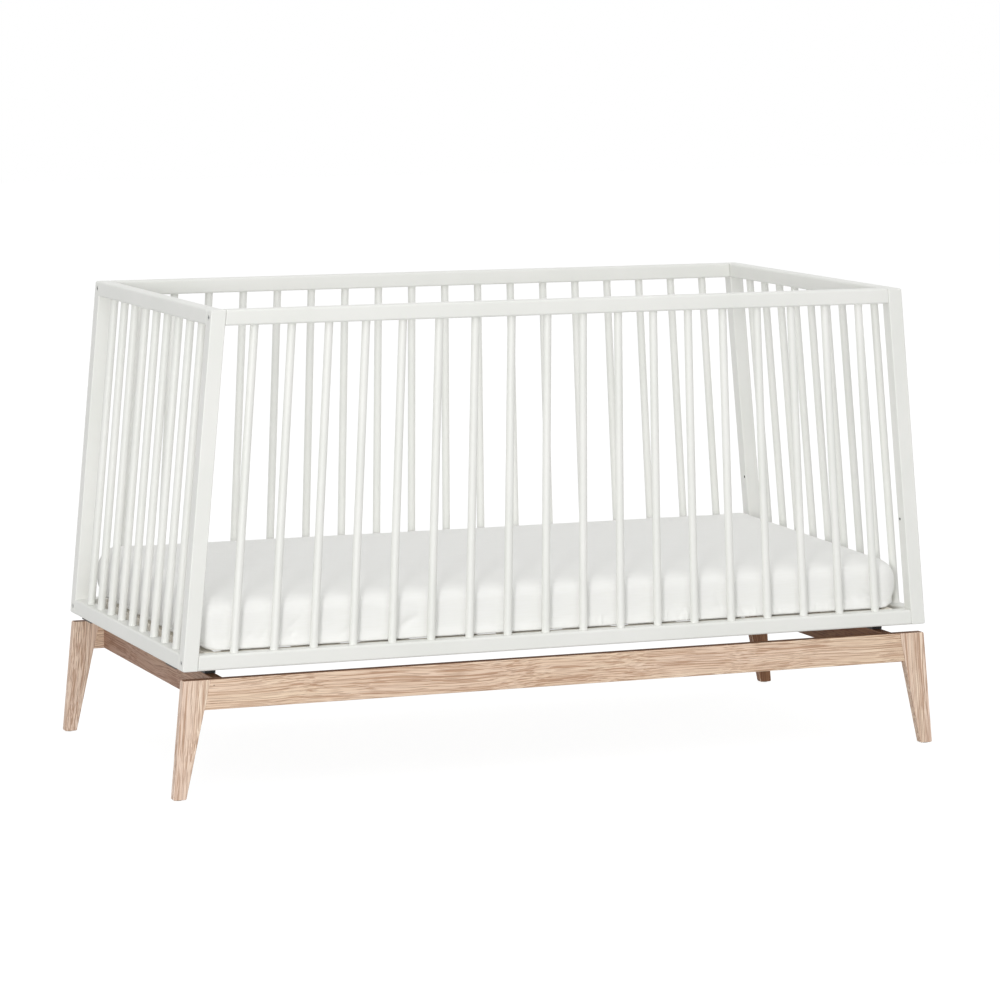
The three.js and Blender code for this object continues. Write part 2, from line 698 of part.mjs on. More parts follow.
/** An end rail of the bed base, as long as the bed base is deep. */
function bedBaseEndRail(end) {
  const outside = end.x * HALF_BED_BASE_LENGTH;
  const inside = end.x * BED_BASE_INSIDE_X;
  const section = rectangle(
    Math.min(outside, inside), BED_BASE_BOTTOM, Math.max(outside, inside), BED_BASE_TOP, BED_BASE_EDGE,
  );
  return extrudeAlongY(section, -HALF_BED_BASE_DEPTH, HALF_BED_BASE_DEPTH, 0);
}

/** One lath, which lies across the bed base on the shelves of its side rails. */
function lath(index) {
  const pitch = 2 * BED_BASE_INSIDE_X / LATHS;
  const middle = -BED_BASE_INSIDE_X + pitch * (index + 0.5);
  const reach = HALF_BED_BASE_DEPTH - BED_BASE_RAIL_THICKNESS + LATH_SEAT - FIT;
  const section = rectangle(
    middle - LATH_WIDTH / 2, BED_BASE_TOP - LATH_THICKNESS, middle + LATH_WIDTH / 2, BED_BASE_TOP,
    BED_BASE_EDGE,
  );
  return extrudeAlongY(section, -reach, reach, 0);
}

SIDES.forEach((side) => {
  addPiece(`bed_base_side_rail_${side.name}`, bedBaseSideRail(side), BIRCH_PLYWOOD);
});

ENDS.forEach((end) => {
  addPiece(`bed_base_end_rail_${end.name}`, bedBaseEndRail(end), BIRCH_PLYWOOD);
});

for (let index = 0; index < LATHS; index += 1) {
  const number = String(index + 1).padStart(2, "0");
  addPiece(`bed_base_lath_${number}`, lath(index), BIRCH_PLYWOOD);
}

// ---------------------------------------------------------------- the mattress

/** The mattress as a plain block with eased corners and edges. */
function mattress() {
  const halfLength = HALF_BED_BASE_LENGTH - MATTRESS_END_SETBACK;
  const halfWidth = HALF_BED_BASE_DEPTH - MATTRESS_SIDE_SETBACK;
  const outline = easedOutline(rectangle(-halfLength, -halfWidth, halfLength, halfWidth, MATTRESS_CORNER));
  return extrude(outline, MATTRESS_THICKNESS, MATTRESS_EDGE, MATTRESS_STEPS)
    .translate(0, 0, BED_BASE_TOP + FIT);
}

addPiece("mattress", mattress(), WHITE_COTTON);

export default cot;
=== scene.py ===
"""A slatted cot for a baby: its finished surfaces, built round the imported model.

Units are metres. X runs along the cot, Y from its front to its back and Z up.
The origin lies on the floor, under the middle of the cot.
Each piece is computed as whole arrays of points: an outline carried along a line, a ring turned
about an axis, or a sheet of points over the mattress. Round corners are arcs.
"""

import math

import bmesh
import bpy
import numpy as np
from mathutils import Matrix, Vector


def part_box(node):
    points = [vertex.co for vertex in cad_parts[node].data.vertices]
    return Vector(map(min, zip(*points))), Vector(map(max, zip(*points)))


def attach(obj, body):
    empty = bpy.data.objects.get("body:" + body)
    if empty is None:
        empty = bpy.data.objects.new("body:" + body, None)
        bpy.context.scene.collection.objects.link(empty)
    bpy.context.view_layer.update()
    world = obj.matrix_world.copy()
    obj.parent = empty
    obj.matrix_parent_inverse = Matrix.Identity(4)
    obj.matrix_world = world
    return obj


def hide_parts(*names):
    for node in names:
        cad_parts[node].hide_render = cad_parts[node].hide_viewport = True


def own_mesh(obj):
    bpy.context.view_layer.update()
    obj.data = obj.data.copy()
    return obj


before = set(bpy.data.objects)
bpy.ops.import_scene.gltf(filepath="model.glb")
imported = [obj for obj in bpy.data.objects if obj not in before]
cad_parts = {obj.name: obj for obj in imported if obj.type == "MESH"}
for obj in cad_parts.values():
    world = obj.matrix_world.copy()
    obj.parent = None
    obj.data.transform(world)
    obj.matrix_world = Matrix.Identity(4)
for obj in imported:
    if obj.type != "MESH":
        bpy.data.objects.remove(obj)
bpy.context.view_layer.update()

# ---------------------------------------------------------------- sizes, in metres

FIT = 0.0003
OVERRUN = 0.001

POST_WIDTH = 0.028
POST_DEPTH = 0.028
POST_EDGE = 0.002
POST_BOTTOM_CORNER = 0.0035
POST_TOP_CORNER = 0.0045
FRAME_LENGTH_BOTTOM = 1.460
FRAME_LENGTH_TOP = 1.342
RAIL_HEIGHT = 0.028
RAIL_THICKNESS = 0.028
RAIL_EDGE = 0.004
RAIL_END_EDGE = 0.0014

SLAT_DIAMETER = 0.015
SLAT_SEAT = 0.014
SLAT_END_EDGE = 0.001
SIDE_SLATS = 18
END_SLATS = 9
SIDE_SLAT_GAP_TOP = 0.051
SIDE_SLAT_GAP_BOTTOM = 0.060
END_SLAT_GAP = 0.055

BOLT_DIAMETER = 0.006
BOLT_LENGTH = 0.060
BOLT_HEAD_DIAMETER = 0.010
BOLT_HEAD_HEIGHT = 0.005
BOLT_HEAD_RECESS = 0.001
BOLT_HEAD_EDGE = 0.0006
HEX_KEY = 0.004
HEX_DEPTH = 0.003
NUT_DIAMETER = 0.010
NUT_LENGTH = 0.018
NUT_INSET = 0.030

STAND_SETBACK = 0.002
LEG_TOP_WIDTH = 0.050
LEG_FOOT_WIDTH = 0.024
LEG_SPLAY = 0.021
LEG_THICKNESS = 0.020
LEG_FOOT_THICKNESS = 0.016
LEG_CORNER = 0.003
APRON_HEIGHT = 0.054
APRON_THICKNESS = 0.020
CROSS_RAIL_HEIGHT = 0.054
CROSS_RAIL_THICKNESS = 0.020
CROSS_RAIL_INSET = 0.058
STAND_EDGE = 0.0015
JOINT_EDGE = 0.0005

GLIDE_DIAMETER = 0.013
GLIDE_EDGE = 0.0008
# The innermost ring of its underside, as a share of its radius, and how high and how far in its
# eased rim's middle lies, as a share of the edge.
GLIDE_FLAT = 0.6
GLIDE_BULGE = 0.3
GLIDE_SEAT = 0.003
NAIL_DIAMETER = 0.0026
NAIL_LENGTH = 0.014

BRACKET_EDGE = 0.0008
BRACKET_PLATE = 0.004
BRACKET_SETBACK = 0.062
BRACKET_WIDTH = 0.060
BRACKET_END_MARGIN = 0.006
SCREW_HOLE_DIAMETER = 0.0045
SCREW_HEAD_DIAMETER = 0.0075
SCREW_HEAD_HEIGHT = 0.0024
SCREW_SHANK_DIAMETER = 0.0040
SCREW_SOCKET_DIAMETER = 0.0030
SCREW_SOCKET_DEPTH = 0.0014
SCREW_EDGE = 0.0005

BED_BASE_RAIL_THICKNESS = 0.020
BED_BASE_EDGE = 0.0015
LATHS = 10
LATH_WIDTH = 0.080
LATH_THICKNESS = 0.008
LATH_SEAT = 0.010

BED_BASE_HOLE_DIAMETER = 0.006
BED_BASE_HOLE_DEPTH = 0.015
BED_BASE_HOLE_LEVEL = 0.428
BED_BASE_HOLE_SETBACK = 0.020
SLEEVE_WALL = 0.0008
SLEEVE_SETBACK = 0.0005

# The foam swells past its plain solid at the ends and the sides, and a little on top.
MATTRESS_SWELL = np.array([0.0205, 0.0045, 0.0060])
MATTRESS_CORNER = np.array([0.044, 0.040])
# Rounding of its upper and lower edges, along the front, along the back and across the ends.
MATTRESS_FRONT_EDGES = (0.030, 0.004)
MATTRESS_BACK_EDGES = (0.026, 0.003)
MATTRESS_END_EDGES = (0.051, 0.050)
# How much lower the foam lies along its front, as a share of its thickness: it has settled there.
MATTRESS_SETTLING = 0.125
MATTRESS_CELLS = (0.008, 0.012, 0.010)
# Where the cells' lines lie next to an edge.
MATTRESS_RIM_CELLS = (0.0, 0.0015, 0.0035, 0.007, 0.014)

# ---------------------------------------------------------------- places, from the model

post_low, post_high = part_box("post_front_left")
FRAME_BOTTOM = post_low.z
FRAME_TOP = post_high.z
HALF_DEPTH = -post_low.y
RAIL_TOP = FRAME_BOTTOM + RAIL_HEIGHT
TOP_RAIL_BOTTOM = FRAME_TOP - RAIL_HEIGHT
SIDE_MIDDLE = HALF_DEPTH - RAIL_THICKNESS / 2

STAND_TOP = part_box("apron_front")[1].z
HALF_STAND_DEPTH = HALF_DEPTH - STAND_SETBACK
HALF_STAND_LENGTH = FRAME_LENGTH_BOTTOM / 2 - STAND_SETBACK
LEG_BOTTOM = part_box("leg_front_left")[0].z
APRON_BOTTOM = STAND_TOP - APRON_HEIGHT
CROSS_RAIL_OUTSIDE = HALF_STAND_LENGTH - CROSS_RAIL_INSET
CROSS_RAIL_MIDDLE = CROSS_RAIL_OUTSIDE - CROSS_RAIL_THICKNESS / 2

base_low, base_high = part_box("bed_base_end_rail_right")
BED_BASE_BOTTOM = base_low.z
BED_BASE_TOP = base_high.z
HALF_BED_BASE_LENGTH = base_high.x
HALF_BED_BASE_DEPTH = base_high.y
BED_BASE_INSIDE = HALF_BED_BASE_LENGTH - BED_BASE_RAIL_THICKNESS

mattress_low, mattress_high = (np.array(corner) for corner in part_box("mattress"))
MATTRESS_FLOOR = mattress_low[2]

SIDES = {"front": -1, "back": 1}
ENDS = {"left": -1, "right": 1}
LEVELS = {"bottom": FRAME_BOTTOM + RAIL_HEIGHT / 2, "top": FRAME_TOP - RAIL_HEIGHT / 2}
CORNERS = {f"{side}_{end}": (x, y) for side, y in SIDES.items() for end, x in ENDS.items()}


def frame_end(z):
    """Distance from the middle of the cot to the outside of the frame's leaning end at height z."""
    share = (z - FRAME_BOTTOM) / (FRAME_TOP - FRAME_BOTTOM)
    return (FRAME_LENGTH_BOTTOM + (FRAME_LENGTH_TOP - FRAME_LENGTH_BOTTOM) * share) / 2


def post_inside(z):
    """Distance of a post's inner face from the middle of the cot, at height z."""
    return frame_end(z) - POST_WIDTH


def leg_outside(z):
    """Distance from the middle to a leg's outer edge: it grows evenly towards the floor."""
    return HALF_STAND_LENGTH + LEG_SPLAY * (1 - z / STAND_TOP)


def leg_inside(z):
    """Distance from the middle to a leg's inner edge: the outer edge less an even taper."""
    return leg_outside(z) - LEG_FOOT_WIDTH - (LEG_TOP_WIDTH - LEG_FOOT_WIDTH) * z / STAND_TOP


# ---------------------------------------------------------------- meshes

ARC_STEPS = 5
RIM_STEPS = 4
ROUND_SIDES = 32
# Points closer than this become one.
MERGE = 1e-6
# Keeps a division by a length of nothing from failing.
TINY = 1e-9
# A skin that is turned round closes at this share of a radius from its axis, with a small flat.
CLOSING = 1 / 8
# A multiple of six, so that the corners of a bolt's hexagon lie on it.
BOLT_SIDES = 48
# Faces that turn by more than this many degrees meet in a sharp edge.
SHARP = 50
# A face looks a certain way if it turns from it by no more than the arc cosine of this.
FACING = 0.9
# How far apart in the tree two boards lie: along the grain, across it and through it.
BOARD_SHIFT = np.array([1.37, 0.113, 0.071])


def outline(corners):
    """A closed line through rounded corners, and the way inwards at each of its points.

    Each corner is (u, v, radius). Its arc touches both sides: the centre lies one radius inwards
    from each, and the points are the centre less the radius times a unit vector that turns from
    one side's inward normal to the next side's. Returns points and inward unit vectors.
    """
    places = np.array([corner[:2] for corner in corners], float)
    radii = np.array([corner[2] for corner in corners], float)
    following = np.roll(places, -1, axis=0)
    area = np.sum(places[:, 0] * following[:, 1] - places[:, 1] * following[:, 0])
    if area < 0:
        places, radii = places[::-1], radii[::-1]
    before = places - np.roll(places, 1, axis=0)
    before /= np.linalg.norm(before, axis=1, keepdims=True)
    after = np.roll(before, -1, axis=0)
    start = np.arctan2(before[:, 0], -before[:, 1])
    swing = np.arctan2(
        before[:, 0] * after[:, 1] - before[:, 1] * after[:, 0], np.sum(before * after, axis=1)
    )
    tangent = radii * np.tan(swing / 2)
    normal = np.stack([-before[:, 1], before[:, 0]], axis=1)
    centre = places - before * tangent[:, None] + normal * radii[:, None]
    angle = start[:, None] + swing[:, None] * np.linspace(0, 1, ARC_STEPS + 1)
    inward = np.stack([np.cos(angle), np.sin(angle)], axis=-1)
    points = centre[:, None] - inward * radii[:, None, None]
    return points.reshape(-1, 2), inward.reshape(-1, 2)


def carried(corners, low, high, rim, order, bend=None):
    """Rings of an outline carried from one depth to another, with both rims a quarter circle.

    At the angle a of a rim the outline moves inwards by rim times (1 - sin a) and lies
    rim times (1 - cos a) deep. order names the axes of u, v and the depth, such as "xzy".
    """
    points, inward = outline(corners)
    angle = np.linspace(0, math.pi / 2, RIM_STEPS + 1)
    inset = rim * (1 - np.sin(angle))
    depth = rim * (1 - np.cos(angle))
    low, high = min(low, high), max(low, high)
    insets = np.concatenate([inset, inset[::-1]])
    depths = np.concatenate([low + depth, high - depth[::-1]])
    rings = np.empty((len(insets), len(points), 3))
    flat = points + inward * insets[:, None, None]
    rings[..., "xyz".index(order[0])] = flat[..., 0]
    rings[..., "xyz".index(order[1])] = flat[..., 1]
    rings[..., "xyz".index(order[2])] = depths[:, None]
    if bend is not None:
        rings = bend(rings)
    return rings


def slanted(line, half, middle):
    """A bend that stretches a piece of a half length so that its ends follow a leaning line.

    At each height its half length grows by what the line gains from the middle height to there.
    """
    def bend(rings):
        rings[..., 0] *= 1 + (line(rings[..., 2]) - line(middle)) / half
        return rings

    return bend


def turned(profile, start, end, sides=ROUND_SIDES, shape=None):
    """Rings of a profile turned about the line from start to end.

    profile holds (distance along the line, radius). The point at the angle t stands off the line by
    the radius times (cos t, sin t), times shape(t) where a ring isn't round.
    """
    start, end = np.array(start, float), np.array(end, float)
    along = (end - start) / np.linalg.norm(end - start)
    side = np.cross(along, [0, 1, 0] if abs(along[1]) < 0.9 else [1, 0, 0])
    side /= np.linalg.norm(side)
    up = np.cross(along, side)
    angle = np.linspace(0, 2 * math.pi, sides, endpoint=False)
    profile = np.array(profile, float)
    radius = profile[:, 1, None] * np.ones(sides)
    if shape is not None:
        radius = radius * shape(angle)
    across = np.cos(angle)[:, None] * side + np.sin(angle)[:, None] * up
    return start + profile[:, 0, None, None] * along + radius[..., None] * across


def section(near, far, low, high, edge):
    """The corners of a rectangular section, all with the same radius."""
    return [(near, low, edge), (near, high, edge), (far, high, edge), (far, low, edge)]


def tie(rings):
    """Points and faces of a closed skin: quads from ring to ring, and a flat face on each end."""
    count, sides = rings.shape[:2]
    index = np.arange(count * sides).reshape(count, sides)
    after = np.roll(index, -1, axis=1)
    quads = np.stack([index[:-1], after[:-1], after[1:], index[1:]], axis=-1).reshape(-1, 4)
    return rings.reshape(-1, 3), quads.tolist() + [index[0, ::-1].tolist(), index[-1].tolist()]


def bore(start, end, radius):
    """Rings of a plain round hole from start to end."""
    return turned([(0, radius), (math.dist(start, end), radius)], start, end)


def mesh_of(name, *skins):
    """One mesh of several closed skins, with its doubles merged and its faces turned outwards.

    A skin is an array of rings, or a pair of points and faces.
    """
    points, faces, count = [], [], 0
    for skin in skins:
        skin_points, skin_faces = skin if isinstance(skin, tuple) else tie(skin)
        points.append(skin_points)
        faces += [[index + count for index in face] for face in skin_faces]
        count += len(skin_points)
    mesh = bpy.data.meshes.new(name)
    mesh.from_pydata(np.concatenate(points).tolist(), [], faces)
    work = bmesh.new()
    work.from_mesh(mesh)
    bmesh.ops.remove_doubles(work, verts=work.verts, dist=MERGE)
    bmesh.ops.dissolve_degenerate(work, edges=work.edges, dist=MERGE)
    bmesh.ops.recalc_face_normals(work, faces=work.faces)
    work.to_mesh(mesh)
    work.free()
    mesh.validate()
    return mesh


def placed(name, data):
    """A new object in the scene."""
    thing = bpy.data.objects.new(name, data)
    bpy.context.scene.collection.objects.link(thing)
    return thing


def applied(thing):
    """An object's mesh with its modifiers applied. The object itself is removed."""
    result = bpy.data.meshes.new_from_object(
        thing.evaluated_get(bpy.context.evaluated_depsgraph_get())
    )
    bpy.data.objects.remove(thing)
    return result


def cut(mesh, *cutters):
    """The mesh with other closed skins cut out of it, which may not overlap one another."""
    work = placed("work", mesh)
    tool = placed("tool", mesh_of("tool", *cutters))
    boolean = work.modifiers.new("cut", "BOOLEAN")
    boolean.operation = "DIFFERENCE"
    boolean.solver = "EXACT"
    boolean.object = tool
    result = applied(work)
    result.name = mesh.name
    bpy.data.objects.remove(tool)
    return result


def vectors(items, what):
    """One vector of each of a mesh's points or faces, as an array."""
    values = np.empty(len(items) * 3, np.float32)
    items.foreach_get(what, values)
    return values.reshape(-1, 3).astype(float)


def move_points(mesh, places):
    """Moves a mesh's points to new places."""
    mesh.vertices.foreach_set("co", places.astype(np.float32).ravel())


def piece(name, mesh, body, material, nodes=()):
    """Adds a mesh to the scene as a finished piece that rides on a body and replaces its nodes."""
    thing = placed(name, mesh)
    mesh.materials.clear()
    mesh.materials.append(material)
    mesh.polygons.foreach_set("use_smooth", np.ones(len(mesh.polygons), bool))
    shading = thing.modifiers.new("flat_faces_stay_flat", "WEIGHTED_NORMAL")
    shading.keep_sharp = True
    mesh.set_sharp_from_angle(angle=math.radians(SHARP))
    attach(thing, body)
    if nodes:
        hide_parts(*nodes)
    return thing


def set_grain(mesh, run):
    """Stores where each point lies in its board: along the grain, across it and through it."""
    attribute = mesh.attributes.new("grain", "FLOAT_VECTOR", "POINT")
    places = run(vectors(mesh.vertices, "co"))
    attribute.data.foreach_set("vector", places.astype(np.float32).ravel())


def paint_shade(mesh, *ways):
    """Paints shade on a board's faces that look up or one of the ways: a darker oak as its second
    material.
    """
    mesh.materials.append(SHADE_PAINTED_OAK)
    facing = vectors(mesh.polygons, "normal") @ np.array([(0, 0, 1), *ways], float).T
    mesh.polygons.foreach_set("material_index", (facing.max(axis=1) > FACING).astype(np.int32))
    mesh.update()


def board(order, number, lean=None):
    """A function from a point to its place in its board, which is cut from its own stretch of tree.

    order names the axes along, across and through the board. lean gives the distance that the
    grain's start line has at each height.
    """
    columns = ["xyz".index(axis) for axis in order]
    shift = BOARD_SHIFT * number

    def run(points):
        places = points[:, columns].copy()
        if lean is not None:
            places[:, 1] = lean(points)
        return places + shift

    return run


# ---------------------------------------------------------------- materials

# The sockets of a Mix node that blends colours.
FACTOR, FIRST, SECOND, BLEND = 0, 6, 7, 2


def colour(text):
    """An sRGB hex colour as linear red, green, blue and an alpha of 1."""
    parts = [int(text[i:i + 2], 16) / 255 for i in (1, 3, 5)]
    line = [part / 12.92 if part <= 0.04045 else ((part + 0.055) / 1.055) ** 2.4 for part in parts]
    return (*line, 1.0)


def add(tree, kind, inputs=None, out=0, stops=(), **settings):
    """Adds a node with its settings, and returns one of its outputs if it has any.

    An input is a value, a hex colour, or another node's output to link. stops holds a colour
    ramp's two (place, colour or grey) marks.
    """
    node = tree.nodes.new("ShaderNode" + kind)
    for name, value in settings.items():
        setattr(node, name, value)
    for name, value in (inputs or {}).items():
        if isinstance(value, bpy.types.NodeSocket):
            tree.links.new(value, node.inputs[name])
        else:
            node.inputs[name].default_value = colour(value) if isinstance(value, str) else value
    if stops:
        for mark, (place, value) in zip(node.color_ramp.elements, stops):
            mark.position = place
            mark.color = colour(value) if isinstance(value, str) else (value, value, value, 1.0)
    return node.outputs[out] if node.outputs else None


def empty_tree(owner):
    """The node tree of a material or a world, without any nodes yet."""
    owner.use_nodes = True
    owner.node_tree.nodes.clear()
    return owner.node_tree


def finished(name, surface):
    """A material with one surface shader: surface adds its patterns and returns its inputs."""
    material = bpy.data.materials.new(name)
    tree = empty_tree(material)
    add(tree, "OutputMaterial", {"Surface": add(tree, "BsdfPrincipled", surface(tree))})
    return material


def white_lacquer(tree):
    """Satin catalysed lacquer sprayed on beech: an even warm white with a soft gloss.

    The film lies in shallow waves about 6 mm apart, and fine dust under it breaks up its gloss,
    which gives the reflections a little life.
    """
    place = add(tree, "TexCoord", out="Object")
    cloud = add(tree, "TexNoise", {"Vector": place, "Scale": 7.0, "Detail": 3.0})
    wave = add(tree, "TexNoise", {"Vector": place, "Scale": 170.0, "Detail": 2.0})
    dust = add(tree, "TexNoise", {"Vector": place, "Scale": 1400.0, "Detail": 1.0})
    return {
        "IOR": 1.5,
        "Base Color": add(tree, "ValToRGB", {"Fac": cloud},
                          stops=[(0.3, "#e9eae5"), (0.7, "#eeeeea")]),
        "Roughness": add(tree, "ValToRGB", {"Fac": dust}, stops=[(0.35, 0.36), (0.65, 0.46)]),
        "Normal": add(tree, "Bump", {"Height": wave, "Distance": 0.00006, "Strength": 0.5}),
    }


def oak(tree, wash_or_painted_shade):
    """Solid oak, planed and matt oiled, with its light tones multiplied by a tint: a white wash, or
    a darker tint that paints shade.

    Pinkish bands some 15 mm wide run along the board and wander. In them lie growth lines about
    2 mm apart, finer threads, pores drawn about 1 mm wide so that they show, and a few pin knots.
    A matt oil leaves the surface chalky and a little rough along its bands.
    """
    grain = add(tree, "Attribute", out="Vector", attribute_name="grain")
    wander = add(tree, "TexNoise", {
        "Vector": add(tree, "Mapping", {"Vector": grain, "Scale": (2.2, 6.0, 6.0)}),
        "Scale": 1.0, "Detail": 2.0,
    }, out="Color")
    shift = add(tree, "VectorMath", {0: wander, 1: (0.5, 0.5, 0.5)}, operation="SUBTRACT")
    sway = add(tree, "VectorMath", {0: shift, 1: (0.0, 0.045, 0.045)}, operation="MULTIPLY")
    flow = add(tree, "VectorMath", {0: grain, 1: sway}, operation="ADD")

    # Each pattern is drawn out along the board: cycles per metre along, across and through it.
    noises = {}
    for name, start, scale, detail, roughness in (
        ("ground", grain, (2.0, 22.0, 22.0), 2.0, 0.5),
        ("bands", flow, (0.9, 66.0, 55.0), 2.0, 0.5),
        ("threads", flow, (9.0, 780.0, 540.0), 2.0, 0.5),
        ("lines", flow, (0.8, 620.0, 440.0), 1.0, 0.6),
        ("pores", flow, (15.0, 900.0, 600.0), 1.0, 0.5),
    ):
        noises[name] = add(tree, "TexNoise", {
            "Vector": add(tree, "Mapping", {"Vector": start, "Scale": scale}),
            "Scale": 1.0, "Detail": detail, "Roughness": roughness,
        })
    noises["knots"] = add(tree, "TexVoronoi", {
        "Vector": add(tree, "Mapping", {"Vector": grain, "Scale": (11.0, 19.0, 19.0)}),
        "Scale": 1.0, "Randomness": 1.0,
    }, out="Distance")

    tone = add(tree, "ValToRGB", {"Fac": noises["ground"]},
               stops=[(0.38, "#fae7d1"), (0.62, "#f5dfcf")])
    layers = {}
    for name, stops, shade in (
        ("bands", [(0.42, 0.0), (0.58, 0.55)], "#ead0bb"),
        ("threads", [(0.48, 0.0), (0.62, 0.4)], "#ddc1a9"),
        ("lines", [(0.53, 0.0), (0.56, 1.0)], "#c5a38b"),
        ("pores", [(0.58, 0.0), (0.64, 0.8)], "#b08f79"),
        ("knots", [(0.014, 1.0), (0.03, 0.0)], "#6b4a36"),
    ):
        layers[name] = add(tree, "ValToRGB", {"Fac": noises[name]}, stops=stops)
        tone = add(tree, "Mix", {FACTOR: layers[name], FIRST: tone, SECOND: shade}, BLEND,
                   data_type="RGBA")
    relief = add(tree, "Math", {0: layers["pores"], 1: layers["lines"]}, operation="ADD")
    return {
        "IOR": 1.45,
        "Base Color": add(tree, "Mix", {FACTOR: 1.0, FIRST: tone, SECOND: wash_or_painted_shade}, BLEND,
                          data_type="RGBA", blend_type="MULTIPLY"),
        "Roughness": add(tree, "ValToRGB", {"Fac": noises["bands"]},
                         stops=[(0.3, 0.56), (0.7, 0.66)]),
        "Normal": add(tree, "Bump", {"Height": relief, "Distance": -0.00012, "Strength": 0.6}),
    }


def sanded_birch(tree):
    """Bare birch, sanded: pale yellowish wood with a fine even grain and a silky matt face."""
    grain = add(tree, "Attribute", out="Vector", attribute_name="grain")
    bands, fibres = (
        add(tree, "TexNoise", {
            "Vector": add(tree, "Mapping", {"Vector": grain, "Scale": scale}),
            "Scale": 1.0, "Detail": detail,
        })
        for scale, detail in (((2.0, 70.0, 70.0), 3.0), ((25.0, 700.0, 700.0), 2.0))
    )
    tone = add(tree, "ValToRGB", {"Fac": bands}, stops=[(0.35, "#f7f3e9"), (0.65, "#f1eadc")])
    dark = add(tree, "ValToRGB", {"Fac": fibres}, stops=[(0.5, 0.0), (0.7, 0.5)])
    return {
        "IOR": 1.45,
        "Roughness": 0.6,
        "Base Color": add(tree, "Mix", {FACTOR: dark, FIRST: tone, SECOND: "#e6dcc9"}, BLEND,
                          data_type="RGBA"),
        "Normal": add(tree, "Bump", {"Height": fibres, "Distance": -0.00008, "Strength": 0.5}),
    }


def black_powder_coat(tree):
    """Matt black powder coat on steel: a fine pebbled skin, its grains about 1 mm apart."""
    place = add(tree, "TexCoord", out="Object")
    pebble = add(tree, "TexNoise", {"Vector": place, "Scale": 1000.0, "Detail": 2.0})
    cloud = add(tree, "TexNoise", {"Vector": place, "Scale": 60.0, "Detail": 2.0})
    return {
        "Roughness": 0.52,
        "Base Color": add(tree, "ValToRGB", {"Fac": cloud},
                          stops=[(0.3, "#1c1b1b"), (0.7, "#252424")]),
        "Normal": add(tree, "Bump", {"Height": pebble, "Distance": 0.0001, "Strength": 0.6}),
    }


def zinc_plate(tree):
    """Bright zinc plate on turned steel: bluish grey, with faint cloudy patches of 4 mm."""
    place = add(tree, "TexCoord", out="Object")
    cloud = add(tree, "TexNoise", {"Vector": place, "Scale": 250.0, "Detail": 3.0})
    return {
        "Metallic": 1.0,
        "Base Color": add(tree, "ValToRGB", {"Fac": cloud},
                          stops=[(0.3, "#a9abad"), (0.7, "#c0c1c1")]),
        "Roughness": add(tree, "ValToRGB", {"Fac": cloud}, stops=[(0.3, 0.28), (0.7, 0.42)]),
    }


def blackened_steel(tree):
    """Steel blackened in a hot salt bath: nearly black, its faint oily gloss in cloudy patches."""
    place = add(tree, "TexCoord", out="Object")
    cloud = add(tree, "TexNoise", {"Vector": place, "Scale": 300.0, "Detail": 2.0})
    return {
        "IOR": 1.5,
        "Base Color": add(tree, "ValToRGB", {"Fac": cloud},
                          stops=[(0.3, "#0a0909"), (0.7, "#121110")]),
        "Roughness": add(tree, "ValToRGB", {"Fac": cloud}, stops=[(0.3, 0.5), (0.7, 0.65)]),
    }


def moulded_plastic(tree):
    """Moulded polyethylene: a warm grey with a fine sparked texture, slightly waxy."""
    place = add(tree, "TexCoord", out="Object")
    spark = add(tree, "TexNoise", {"Vector": place, "Scale": 1500.0, "Detail": 1.0})
    return {
        "IOR": 1.5,
        "Roughness": 0.5,
        "Base Color": add(tree, "ValToRGB", {"Fac": spark},
                          stops=[(0.3, "#88857f"), (0.7, "#94918b")]),
        "Normal": add(tree, "Bump", {"Height": spark, "Distance": 0.00008, "Strength": 0.5}),
    }


# The foot of the mattress, where the sheet gathers in folds: full up to the first height above
# the bed base, and gone at the second.
GATHERED = (0.012, 0.034)


